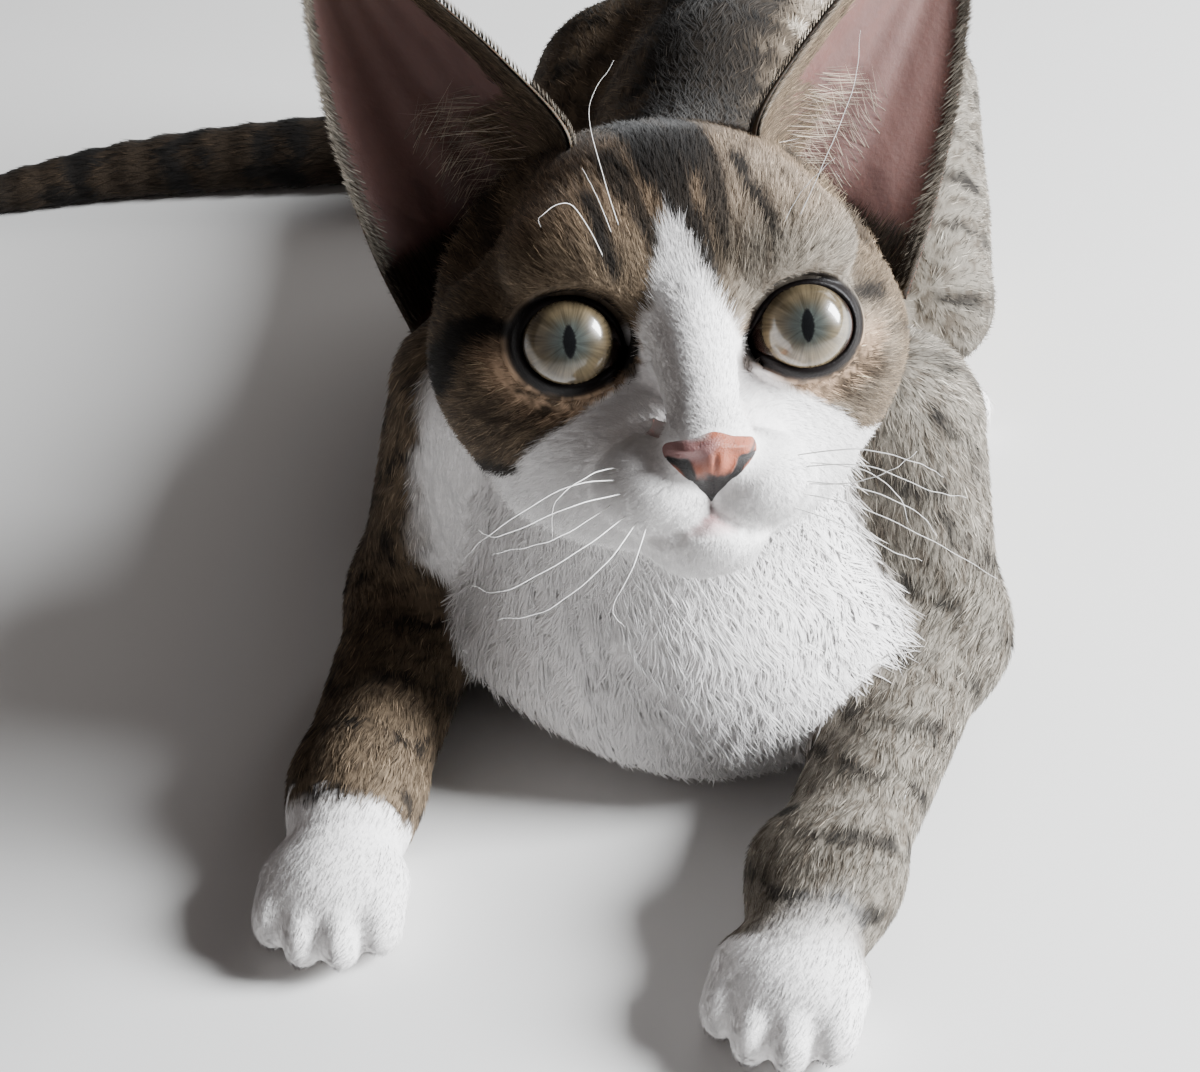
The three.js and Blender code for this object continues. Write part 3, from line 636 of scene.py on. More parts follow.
def painted(name, mottle, mottle_scale, bump=0.0, bump_scale=0, detail=4.0, **look):
    """A material whose colour is the mesh's own Markings, mottled by noise."""
    material, tree, shader = node_material(name, **look)
    marking = tree.nodes.new("ShaderNodeVertexColor")
    marking.layer_name = "Markings"
    texture = noise_node(tree, mottle_scale, detail)
    ramp = tree.nodes.new("ShaderNodeMapRange")
    ramp.inputs["To Min"].default_value = 1 - mottle
    ramp.inputs["To Max"].default_value = 1 + mottle
    mix = tree.nodes.new("ShaderNodeVectorMath")
    mix.operation = "MULTIPLY"
    tree.links.new(texture.outputs["Fac"], ramp.inputs["Value"])
    tree.links.new(marking.outputs["Color"], mix.inputs[0])
    tree.links.new(ramp.outputs["Result"], mix.inputs[1])
    tree.links.new(mix.outputs["Vector"], shader.inputs["Base Color"])
    if bump:
        relief = tree.nodes.new("ShaderNodeBump")
        relief.inputs["Strength"].default_value = bump
        relief.inputs["Distance"].default_value = 0.0004
        fine = noise_node(tree, bump_scale, 3)
        tree.links.new(fine.outputs["Fac"], relief.inputs["Height"])
        tree.links.new(relief.outputs["Normal"], shader.inputs["Normal"])
    return material


def two_toned(name, scale, low, high, **look):
    """A material of two close colours, mixed by noise."""
    material, tree, shader = node_material(name, **look)
    ramp = tree.nodes.new("ShaderNodeValToRGB")
    for stop, colour in zip(ramp.color_ramp.elements, (low, high)):
        stop.color = (*colour, 1)
    tree.links.new(noise_node(tree, scale).outputs["Fac"], ramp.inputs["Fac"])
    tree.links.new(ramp.outputs["Color"], shader.inputs["Base Color"])
    return material


def mesh_piece(name, corners, faces, material, colours=None, uv=None, facing=None):
    """A piece in metres from corners in millimetres; faces is an array of triangles or quads."""
    mesh = bpy.data.meshes.new(name)
    faces = np.asarray(faces)
    sides = faces.shape[1]
    mesh.vertices.add(len(corners))
    mesh.vertices.foreach_set("co", (np.asarray(corners) * MM).astype(np.float32).ravel())
    mesh.loops.add(faces.size)
    mesh.loops.foreach_set("vertex_index", faces.ravel().astype(np.int32))
    mesh.polygons.add(len(faces))
    mesh.polygons.foreach_set("loop_start", np.arange(0, faces.size, sides, dtype=np.int32))
    mesh.polygons.foreach_set("loop_total", np.full(len(faces), sides, dtype=np.int32))
    mesh.update(calc_edges=True)
    mesh.validate()
    mesh.polygons.foreach_set("use_smooth", np.full(len(mesh.polygons), True))
    if facing is not None:
        mesh.normals_split_custom_set_from_vertices(facing)
    if colours is not None:
        layer = mesh.color_attributes.new("Markings", "FLOAT_COLOR", "POINT")
        opaque = np.column_stack([colours, np.ones(len(colours))])
        layer.data.foreach_set("color", opaque.astype(np.float32).ravel())
    if uv is not None:
        layer = mesh.uv_layers.new(name="OFBake")
        corner_of = np.empty(len(mesh.loops), np.int32)
        mesh.loops.foreach_get("vertex_index", corner_of)
        layer.data.foreach_set("uv", uv[corner_of].astype(np.float32).ravel())
    mesh.materials.append(material)
    piece = bpy.data.objects.new(name, mesh)
    bpy.context.scene.collection.objects.link(piece)
    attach(piece, "root")
    return piece


def strips(index):
    """Quads between each row of corner numbers and the next row; each row is a closed ring."""
    following = np.roll(index, -1, 1)
    return np.stack([index[:-1], following[:-1], following[1:], index[1:]], -1).reshape(-1, 4)


# Skin
HEAD_STEP = 0.95
BODY_STEP = 2.6
skin_corners, skin_faces = surface_of(
    skin_form,
    lines((-304, -62, BODY_STEP), (-62, 74, HEAD_STEP), (74, 96, BODY_STEP)),
    lines((-240, -226, BODY_STEP), (-226, -112, HEAD_STEP), (-112, 182, BODY_STEP)),
    lines((-4, 96, BODY_STEP), (96, 198, HEAD_STEP)))
skin_normals = unit(gradient(skin_form, skin_corners)[1])
FLESH = ["head", "neck", "chest", "torso", "hindquarters", "tail_root", "tail_middle", "tail_tip"]
PAIRED_FLESH = ("upper_arm_", "forearm_", "forepaw_", "thigh_", "hind_foot_")
skin_look = painted("skin_fur", 0.3, 900, 0.5, 1400, roughness=0.85, specular=0.2)
skin = mesh_piece("skin", skin_corners, skin_faces, skin_look, skin_colour(skin_corners))
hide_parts(*FLESH, *[part + side for part in PAIRED_FLESH for side in SIDES])


# Fur: short hair is slim three-sided spikes, and longer hair is tapered three-sided tufts with a bend
def tangent(direction, normal):
    return unit(direction - (direction * normal).sum(-1, keepdims=True) * normal)


def box_unwrap(p, normal, low, high):
    """Each point's place on a flat unwrap of the skin, by the side that its normal faces."""
    axis = np.abs(normal).argmax(-1)
    side = (np.take_along_axis(normal, axis[:, None], 1)[:, 0] > 0).astype(int)
    share = (p - low) / (high - low)
    u = np.where(axis == 0, share[:, 1], share[:, 0])
    v = np.where(axis == 2, share[:, 1], share[:, 2])
    return np.column_stack([(axis + 0.03 + 0.94 * u) / 3, (side + 0.03 + 0.94 * v) / 2])


COUNT, WIDER = ((1.0, 1.0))
UV_PATCH = 0.003
RING_TURNS = (90, 210, 330)
# The rings of a hair: how far along it each lies, and its width there
RINGS = ((0.0, 1.0), (0.5, 0.74))
SPIKE_FACES = [(0, 1, 3), (1, 2, 3), (2, 0, 3), (2, 1, 0)]
TUFT_FACES = [
    (0, 1, 4), (0, 4, 3), (1, 2, 5), (1, 5, 4), (2, 0, 3), (2, 3, 5), (3, 4, 6), (4, 5, 6), (5, 3, 6),
    (2, 1, 0)]
PATCH_SPOTS = np.array([(0, 0), (1, 0), (0.5, 1), (0.2, 0.3), (0.8, 0.3), (0.5, 0.8), (0.5, 0.5)]) - 0.5
ROOT_SHADE, MIDDLE_SHADE, TIP_SHADE = 0.6, 1.0, 1.3
SWAY, ROOT_DEPTH, FLATNESS, FLOOR_MARGIN = 0.12, 0.15, 0.6, 0.1
fur = painted("fur", 0.12, 500, roughness=0.8, specular=0.15, sheen=0.06)


def tufts(name, roots, normals, lie, length, width, lift, colours, bent=False):
    """Hairs at the roots as one piece; length, width and lift hold a value for each hair."""
    count = len(roots)
    across = np.cross(normals, lie)
    sway = rng.normal(0, SWAY, (count, 1)) * across
    length, width, lift = (np.broadcast_to(a, count)[:, None] for a in (length, width, lift))
    corners, facing, shades = [], [], []
    for t, spread in (RINGS if bent else RINGS[:1]):
        rise = lift * length * (t - 0.35 * t * t) * 1.35 - ROOT_DEPTH * (t == 0)
        middle = roots + lie * length * t + sway * length * t * t + normals * rise
        for turn in RING_TURNS:
            c, s = math.cos(math.radians(turn)), math.sin(math.radians(turn))
            corners.append(middle + (across * c + normals * s * FLATNESS) * width * 0.5 * spread)
            facing.append(normals + 0.45 * (across * c + normals * s))
            shades.append(MIDDLE_SHADE if t else ROOT_SHADE)
    corners.append(roots + lie * length + sway * length + normals * lift * length * 0.88)
    facing.append(normals + 0.3 * lie)
    shades.append(TIP_SHADE)
    each = len(corners)
    corners = np.stack(corners, 1).reshape(-1, 3)
    corners[:, 2] = np.maximum(corners[:, 2], FLOOR_MARGIN)
    facing = unit(np.stack(facing, 1).reshape(-1, 3))
    pattern = np.array(TUFT_FACES if bent else SPIKE_FACES)
    faces = (np.arange(count)[:, None, None] * each + pattern).reshape(-1, 3)
    # Dark hair varies more from hair to hair, and from its root to its tip, than white hair does
    darkness = smooth(0.7, 0.2, colours.mean(-1))
    tone = np.exp(rng.normal(0, 1, count) * (0.03 + 0.45 * darkness))
    shade = 1 + (np.array(shades) - 1) * darkness[:, None]
    hair_colours = ((colours * tone[:, None])[:, None] * shade[..., None]).clip(0.004, 0.9)
    uv = box_unwrap(roots, normals, roots.min(0) - 1, roots.max(0) + 1)
    uv = (uv[:, None, :] + PATCH_SPOTS[:each] * UV_PATCH).reshape(-1, 2)
    piece = mesh_piece(name, corners, faces, fur, hair_colours.reshape(-1, 3), uv, facing)


def sample_skin(density, keep):
    """Random points on the skin and its normals there: density is in hairs per square millimetre."""
    a, b, c, d = (skin_corners[skin_faces[:, n]] for n in range(4))
    area = 0.5 * np.linalg.norm(np.cross(c - a, d - b), axis=1)
    count = rng.poisson(area * density * keep((a + b + c + d) / 4))
    quad = skin_faces[np.repeat(np.arange(len(skin_faces)), count)]
    u, v = rng.random((2, len(quad), 1))
    shares = ((1 - u) * (1 - v), u * (1 - v), u * v, (1 - u) * v)

    def between(values):
        return sum(share * values[quad[:, n]] for n, share in enumerate(shares))
    return between(skin_corners), unit(between(skin_normals))


def region_of(p):
    """The number of the region that each point is nearest to; far behind the face that is the trunk."""
    index = np.stack([REGIONS[name](p) for name in REGION_NAMES], -1).argmin(-1)
    behind = to_head(p)[..., 1] > 60
    return np.where((index == REGION_NAMES.index("head")) & behind, REGION_NAMES.index("trunk"), index)


def head_lie(q):
    flow = unit(q - np.array([0, -18, -20]))
    flow = flow + np.array([0, 0.75, 0]) + np.array([0, 0, -0.5]) * smooth(-8, -24, q[..., 2])[..., None]
    around = np.abs(q[..., 0]) - PUPIL_GAP / 2
    near_eye = smooth(20, 11, np.hypot(around, q[..., 2]))
    away = unit(np.stack([np.sign(q[..., 0]) * around, np.zeros_like(around), q[..., 2]], -1))
    return flow + 0.5 * near_eye[..., None] * away


def lie_of(p, normals, index):
    """The way that the hair lies at each point, along the skin."""
    lie = np.zeros_like(p)
    lie[:, 1] = 1
    lie[:, 2] = -0.45
    breast = smooth(-0.1, -0.6, normals[:, 1]) * smooth(-60, -100, p[:, 1])
    down = np.column_stack([(p[:, 0] - 6) * 0.008, np.full(len(p), -0.15), np.full(len(p), -1.0)])
    lie = lie * (1 - breast[:, None]) + down * breast[:, None]
    for n, name in enumerate(REGION_NAMES):
        own = index == n
        if name == "head":
            lie[own] = head_lie(to_head(p[own])) @ HEAD_TURN.T
        elif name.startswith("foreleg"):
            leg = LEGS[name.split("_")[1]]
            along = np.array(leg["wrist"], float) - np.array(leg["elbow"], float)
            upper = smooth(34, 60, p[own][:, 2])[:, None]
            lie[own] = along / np.linalg.norm(along) * (1 - upper) + np.array([0, 0.25, -1]) * upper
        elif name.startswith("hindleg"):
            low = smooth(32, 20, p[own][:, 2])[:, None]
            lie[own] = np.array([0, -1, -0.1]) * low + np.array([0, 0.75, -0.7]) * (1 - low)
        elif name == "tail":
            far = np.linalg.norm(p[own][:, None] - TAIL_LINE[None], axis=-1)
            place = far.argmin(axis=1).clip(0, len(TAIL_LINE) - 2)
            lie[own] = TAIL_LINE[place + 1] - TAIL_LINE[place]
    return tangent(unit(lie), normals)


def waved(p, lie, normals, length_of_wave, amount):
    """The soft waves of the coat: the lie swings from side to side along its own way."""
    across = np.cross(normals, lie)
    along = (p * lie).sum(-1) + 5 * noise(p, 30, 61)
    swing = np.sin(2 * math.pi * along / length_of_wave + 2.0 * noise(p, 18, 62))
    return tangent(lie + across * (amount * swing)[:, None], normals), swing


def make_coat(label, region, density, group_of, shape, bent=False):
    """One region's coat. The density is in hairs per square millimetre, and the shape gives length, width,
    lift, wave length and wave depth at the roots. Each group is a piece."""
    roots, normals = sample_skin(density * COUNT, lambda p: region(p) * (p[:, 2] > 0.8))
    q = to_head(roots)
    index = region_of(roots)
    lie = lie_of(roots, normals, index)
    length, width, lift, wave, depth = shape(roots, q)
    lie, swing = waved(roots, lie, normals, wave, depth)
    length = length * rng.uniform(0.65, 1.2, len(roots))
    width = width * WIDER * rng.uniform(0.75, 1.25, len(roots))
    lift = (lift + 0.12 * swing * depth + rng.normal(0, 0.045, len(roots))).clip(0.04, 0.7)
    # The lips, the lids, the nose leather and the split of the upper lip stay bare
    on_face = (index == REGION_NAMES.index("head")) & (q[:, 1] < 16)
    lips = (mouth_distance(q) < 1.2) | (lower_lip(q[:, 0], q[:, 2]) > 0.5)
    bare = on_face & (lips | (lid_distance(q) < 0.9))
    bare |= on_face & (q[:, 1] < -8) & (nose_outline(q[:, 0], q[:, 2]) < 0.1)
    bare |= on_face & (np.abs(q[:, 0]) < 0.6) & (q[:, 2] < -27) & (q[:, 2] > -31)
    colours = skin_colour(roots)
    group = group_of(roots, q)
    for n in np.unique(group):
        own = (group == n) & ~bare
        tufts("%s_%d" % (label, n), roots[own], normals[own], lie[own], length[own], width[own], lift[own],
              colours[own], bent)


def face_shape(p, q):
    close = np.hypot(q[:, 0] / 17, (q[:, 2] + 16) / 24) + smooth(-8, 6, q[:, 1])
    length = 3.6 - 1.5 * smooth(1.25, 0.5, close)
    length = length * (1 - 0.45 * smooth(6, 1.5, lid_distance(q)) * (q[:, 1] < 14))
    length = length * (1 - 0.6 * smooth(4.0, 1.5, mouth_distance(q)))
    cheek = smooth(-22, -32, q[:, 2]) * smooth(8, 22, q[:, 1])
    return length + 2.4 * cheek, 0.19 + 0.08 * cheek, 0.15 + 0.12 * cheek, 7.0, 0.16


def leg_shape(p, q):
    foot = smooth(34, 22, p[:, 2]) * smooth(-160, -175, p[:, 1])
    return 4.4 - 1.6 * foot, 0.42 - 0.10 * foot, 0.13, 10.0, 0.3 * (1 - foot)


def bib_shape(p, q):
    return 6.8, 0.5, 0.2 + 0.14 * np.maximum(noise(p, 9, 63), 0), 12.0, 0.55


def even_shape(*shape):
    return lambda p, q: shape


def nearest(name):
    return lambda p: (region_of(p) == REGION_NAMES.index(name)).astype(float)


def is_face(p):
    return nearest("head")(p) * (to_head(p)[:, 1] + 6 * noise(p, 5, 64) < 30)


def is_head_back(p):
    return nearest("head")(p) * (to_head(p)[:, 1] + 6 * noise(p, 5, 64) > 26)


def is_bib(p):
    middle = smooth(-96, -106, p[:, 1] + 0.5 * np.maximum(np.abs(p[:, 0] - 4) - 30, 0))
    return nearest("trunk")(p) * (middle > 0.5)


def is_trunk(p):
    return nearest("trunk")(p) * (1 - is_bib(p))


# The nose leather in the face's plane: a winged bar, and under it a column that narrows to the lips
def nose_outline(x, z):
    x = np.abs(x)
    d = flat_limb(x, z, (0, -18.4), 2.3, (6.9, -18.9), 1.35)
    d = blend(d, flat_limb(x, z, (0, -19.5), 3.3, (0, -24.0), 3.1), 1.5)
    d = blend(d, flat_limb(x, z, (6.4, -19.8), 1.7, (3.2, -23.2), 1.7), 1.0)
    return blend(d, flat_limb(x, z, (0, -24.0), 3.0, (0, -28.6), 0.3), 1.0)


def nostril_reach(x, z):
    x = np.abs(x)
    slit = flat_limb(x, z, (7.6, -20.4), 0.2, (5.2, -21.3), 0.7)
    return blend(slit, flat_limb(x, z, (5.2, -21.3), 0.7, (3.7, -24.2), 0.5), 0.5)


def whole(p, q):
    return np.zeros(len(p), int)


make_coat("coat_face", is_face, 5.6, lambda p, q: (q[:, 0] > 0) * 2 + (q[:, 2] > -4), face_shape)
make_coat("coat_head_back", is_head_back, 1.7, lambda p, q: (q[:, 0] > 0) * 1,
          even_shape(4.2, 0.32, 0.16, 8.0, 0.3))
for name in SIDES:
    make_coat("coat_foreleg_" + name, nearest("foreleg_" + name), 1.5, lambda p, q: (p[:, 2] > 45) * 1,
              leg_shape)
    make_coat("coat_hindleg_" + name, nearest("hindleg_" + name), 0.6, whole, leg_shape)
make_coat("coat_bib", is_bib, 1.05, lambda p, q: (p[:, 0] > 4) * 1, bib_shape, True)
make_coat("coat_trunk", is_trunk, 0.95, lambda p, q: (p[:, 0] > 0) + 2 * (p[:, 1] > 20),
          even_shape(5.6, 0.46, 0.12, 10.0, 0.6))
make_coat("coat_tail", nearest("tail"), 0.9, lambda p, q: (p[:, 0] > -110) * 1,
          even_shape(4.6, 0.5, 0.12, 10.0, 0.25))


# Ears, as cupped leaves with a rounded rim
EAR_INNER = [(20, 30, 26), (18, 24, 38), (29, 29, 53), (41, 34, 65.5), (53, 38, 76), (60, 40, 81.5)]
EAR_OUTER = [(50, 44, 2), (56.5, 46, 18), (62, 46, 38), (64.5, 45, 56), (65, 43, 70), (63, 41, 81)]
EAR_CUP, EAR_TIP_CUP = 20, 2
EAR_THICK, EAR_EDGE = 3.0, 1.3
EAR_ROWS, EAR_COLUMNS = 90, 64


def ear_sheet(side):
    """The ear's middle surface, the way to its back and how thick it is, on a grid of rows by columns."""
    inner = curve_through([(x * side, y, z) for x, y, z in EAR_INNER], EAR_ROWS)
    outer = curve_through([(x * side, y, z) for x, y, z in EAR_OUTER], EAR_ROWS)
    u = np.linspace(0, 1, EAR_ROWS)[:, None]
    v = np.linspace(0, 1, EAR_COLUMNS)[None]
    across = outer - inner
    up = np.gradient(inner, axis=0) + np.gradient(outer, axis=0)
    back = unit(np.cross(up, across) * side)[:, None]
    cup = EAR_CUP + (EAR_TIP_CUP - EAR_CUP) * np.sin(u * math.pi / 2)
    bow = np.sin(math.pi * v) ** 0.75
    ridges = 0.5 * np.sin(9 * math.pi * v) * np.sin(math.pi * v) * (1 - u)
    middle = inner[:, None] + across[:, None] * v[..., None] + back * (cup * bow + ridges)[..., None]
    thick = EAR_EDGE + (EAR_THICK - EAR_EDGE) * (1 - u) * bow
    return middle, np.broadcast_to(back, middle.shape), thick


EAR_SKIN = srgb(92, 64, 59)
# The painted shade deep in the ear's cup, toward its canal
EAR_CANAL_SHADOW = srgb(50, 23, 20)
EAR_LIGHT = srgb(130, 102, 94)


def ear_colour(q, inside):
    u, v = np.linspace(0, 1, EAR_ROWS)[:, None], np.linspace(0, 1, EAR_COLUMNS)[None]
    grain = noise(q, 9, 71)
    if not inside:
        return mixed(BROWN, DARK_BROWN, 0.45 + 0.4 * grain)
    # Painted shade: the inner skin darkens toward the foot of the cup and its canal; the grain is its own
    # uneven tone
    skin = mixed(EAR_SKIN, EAR_CANAL_SHADOW, smooth(0.45, 0.08, u + 0.25 * np.abs(v - 0.55)) + 0.2 * grain)
    skin = mixed(skin, EAR_LIGHT, smooth(0.5, 0.9, u) * 0.35)
    sides = np.maximum(smooth(0.07, 0.03, v), smooth(0.95, 0.98, v))
    return mixed(skin, DARK_BROWN, np.maximum(sides, smooth(0.96, 0.985, u)))


def ear_tufts(sheet, label, count, pick_u, pick_v, face, hair, colour_of, upward, outward):
    """Hairs on one face of the ear, 1 for its back. hair is length, width and lift, and the way that they
    lie is upward to the tip and outward over the rim."""
    middle, back, thick = sheet
    length, width, lift = hair
    us, vs = pick_u(count), pick_v(count)
    i = (us * (EAR_ROWS - 1)).astype(int).clip(1, EAR_ROWS - 2)
    j = (vs * (EAR_COLUMNS - 1)).astype(int).clip(1, EAR_COLUMNS - 2)
    root = middle[i, j] + back[i, j] * (face * thick[i, j] / 2)[:, None]
    du, dv = middle[i + 1, j] - middle[i - 1, j], middle[i, j + 1] - middle[i, j - 1]
    normal = unit(np.cross(du, dv))
    normal = normal * np.sign((normal * back[i, j]).sum(-1) * face)[:, None]
    edge = np.where(vs > 0.5, 1.0, -1.0)[:, None]
    lie = tangent(unit(du) * upward + unit(dv) * edge * outward, normal)
    length = length * rng.uniform(0.6, 1.3, count)
    place = (from_head(root), normal @ HEAD_TURN.T, lie @ HEAD_TURN.T)
    tufts(label, *place, length, width * WIDER, lift, colour_of(us, vs))


def between(low, high):
    return lambda count: rng.uniform(low, high, count)


def low_first(reach, power):
    return lambda count: reach * rng.random(count) ** power


def along_edge(count):
    off = np.abs(rng.normal(0, 0.02, count))
    return np.where(rng.random(count) < 0.5, off, 1 - off)


def shaded(light, dark, low, high):
    return lambda us, vs: mixed(light, dark, rng.uniform(low, high, len(us)))


def rim_colour(us, vs):
    dark = (np.where(vs > 0.5, 0.5, 0.75) + smooth(0.9, 1.0, us)) * rng.uniform(0, 1.5, len(us))
    return mixed(GREY_BUFF, DARK_BROWN, dark)


# The ear's fur: a name, what the number of hairs is divided by, where they root up and across the ear, the
# face, length, width and lift, the colours, and how far they lie upward and outward
EAR_HAIRS = int(8000 * COUNT)
EAR_FUR = [
    ("back", 1, between(0.02, 0.98), between(0.03, 0.97), 1, (3.6, 0.32, 0.16),
     shaded(BROWN, DARK_BROWN, 0.0, 0.9), 1.0, 0.0),
    ("rim", 1, between(0.0, 0.99), along_edge, -1, (2.8, 0.26, 0.4), rim_colour, 0.8, 0.7),
    ("rim_back", 2, between(0.0, 0.99), along_edge, 1, (2.6, 0.26, 0.3), rim_colour, 0.7, 0.9),
    ("inner_edge", 1, between(0.0, 0.9), low_first(0.16, 1.6), -1, (3.2, 0.22, 0.3),
     shaded(BROWN, DARK_BROWN, 0.1, 1.1), 0.9, 0.2),
    ("front", 1, low_first(0.34, 1.4), low_first(0.42, 1.2), -1, (3.6, 0.2, 0.2),
     shaded(BROWN, DARK_BROWN, 0.0, 0.9), 0.8, -0.5),
    ("canal", 12, low_first(0.4, 1.2), between(0.25, 0.75), -1, (7.0, 0.14, 0.5),
     shaded(BEIGE, EAR_SKIN, 0.0, 0.6), 0.5, -0.9),
    ("foot", 3, low_first(0.13, 1.5), between(0.66, 0.99), -1, (4.5, 0.24, 0.3),
     shaded(DARK_BROWN, DARK, 0.0, 1.0), 0.9, 0.3),
]
ear_look = painted("ear_skin", 0.12, 350, 0.25, 700, roughness=0.6, specular=0.35, subsurface=0.35)
for name, side in SIDES.items():
    sheet = ear_sheet(side)
    middle, back, thick = sheet
    # A loop round each row: along the front face, over the rim, back along the rear face
    front, rear = (middle + back * (face * thick[..., None] / 2) for face in (-1, 1))
    loop = np.concatenate([front, rear[:, ::-1]], 1)
    tones = np.concatenate([ear_colour(front, True), ear_colour(rear, False)[:, ::-1]], 1)
    index = np.arange(EAR_ROWS * 2 * EAR_COLUMNS).reshape(EAR_ROWS, 2 * EAR_COLUMNS)
    caps = []
    for row, flip in ((index[0], True), (index[-1], False)):
        for n in range(EAR_COLUMNS - 1):
            cap = [row[n], row[n + 1], row[-2 - n], row[-1 - n]]
            caps.append(cap[::-1] if flip else cap)
    quads = np.concatenate([strips(index), np.array(caps)])[:, ::-side]
    corners = from_head(loop.reshape(-1, 3))
    ear = mesh_piece("ear_skin_" + name, corners, quads, ear_look, tones.reshape(-1, 3))
    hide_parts("ear_" + name)
    for label, divisor, *rest in EAR_FUR:
        ear_tufts(sheet, "coat_ear_%s_%s" % (label, name), EAR_HAIRS // divisor, *rest)


# Eyes
IRIS_RADIUS = 8.3
PUPIL_WIDE, PUPIL_HIGH = 1.2, 3.0
IRIS_OUTER, IRIS_MIDDLE, IRIS_INNER = srgb(90, 79, 60), srgb(70, 63, 49), srgb(48, 54, 53)
IRIS_EDGE, PUPIL_COLOUR, SCLERA = srgb(34, 28, 22), srgb(5, 6, 8), srgb(40, 28, 24)


def iris_colour(x, z):
    radius = np.hypot(x, z)
    turn = np.arctan2(z, x)
    fibres = 0.5 + 0.5 * np.sin(turn * 61 + 2.0 * np.sin(turn * 17) + radius * 0.7) * np.sin(turn * 37 + 1.3)
    fine = np.sin(turn * 149 + radius) + np.sin(turn * 83 + 3 * np.sin(turn * 29))
    share = radius / IRIS_RADIUS
    height = z / IRIS_RADIUS
    colour = mixed(IRIS_MIDDLE, IRIS_OUTER, smooth(0.45, 0.85, share + 0.10 * fibres))
    colour = mixed(colour, IRIS_INNER, smooth(0.62, 0.18, share - 0.14 * fibres) * 0.9)
    colour = colour * (1 + 0.45 * (fibres - 0.5) + 0.12 * fine)[..., None]
    # The top of the iris is darkened as the painted shadow of the upper lid, and its lower part is made
    # lighter
    colour = colour * (1 - 0.35 * smooth(0.0, 1.0, height) + 0.25 * smooth(0.3, 0.9, -height))[..., None]
    colour = mixed(colour, IRIS_EDGE, smooth(0.93, 1.0, share))
    colour = mixed(colour, SCLERA, smooth(1.0, 1.05, share))
    slit = (np.abs(x) / PUPIL_WIDE) ** 1.6 + (np.abs(z) / PUPIL_HIGH) ** 1.6
    return mixed(colour, PUPIL_COLOUR, smooth(1.18, 0.95, slit))


# The ball's front swells into the cornea; each gaze is a turn outward and up, in degrees
CORNEA_RISE = 0.9
BALL_RADIUS = EYE_RADIUS - 0.3
EYE_AROUND, EYE_OUT = 160, 100
GAZE = {"left": (-4, 2), "right": (-2, 2)}
eye_look = painted("eye_ball", 0.14, 2600, detail=3, roughness=0.25, specular=0.5, coat=1.0)
eye_look.node_tree.nodes["Principled BSDF"].inputs["Coat IOR"].default_value = 1.38
for name, side in SIDES.items():
    turn = np.linspace(0, 2 * math.pi, EYE_AROUND, endpoint=False)
    tilt = np.linspace(0, math.pi, EYE_OUT + 1)[1:-1]
    grid_turn, grid_tilt = np.meshgrid(turn, tilt, indexing="ij")
    radius = BALL_RADIUS + CORNEA_RISE * smooth(0.95, 0.55, grid_tilt)
    x = radius * np.sin(grid_tilt) * np.cos(grid_turn)
    z = radius * np.sin(grid_tilt) * np.sin(grid_turn)
    y = -radius * np.cos(grid_tilt)
    front = (grid_tilt < 1.4)[..., None]
    colours = np.where(front, iris_colour(x, z), SCLERA)
    ends = np.array([[0, -(BALL_RADIUS + CORNEA_RISE), 0], [0, BALL_RADIUS, 0]])
    corners = np.vstack([np.stack([x, y, z], -1).reshape(-1, 3), ends])
    colours = np.vstack([colours.reshape(-1, 3), PUPIL_COLOUR, SCLERA])
    index = np.arange(EYE_AROUND * len(tilt)).reshape(EYE_AROUND, len(tilt))
    following = np.roll(index, -1, 0)
    quads = np.stack([index[:, :-1], index[:, 1:], following[:, 1:], following[:, :-1]], -1).reshape(-1, 4)
    fans = np.concatenate([
        np.stack([np.full(EYE_AROUND, len(corners) - 2), index[:, 0], following[:, 0]], -1),
        np.stack([np.full(EYE_AROUND, len(corners) - 1), following[:, -1], index[:, -1]], -1)])
    triangles = np.concatenate([quads[:, [0, 1, 2]], quads[:, [0, 2, 3]], fans])
    yaw, pitch = GAZE[name]
    corners = corners @ turned(-pitch, 0, yaw).T + np.array([side * PUPIL_GAP / 2, EYE_DEPTH, 0])
    eye = mesh_piece("eye_ball_" + name, from_head(corners), triangles, eye_look, colours)
    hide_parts("eye_" + name)

# Lids: a dark rim round each eye that runs from the eyeball out onto the face
LID_COLOUR = srgb(9, 5, 5)
lid_look = painted("lid_rim", 0.2, 900, 0.3, 1500, roughness=0.45, specular=0.12)
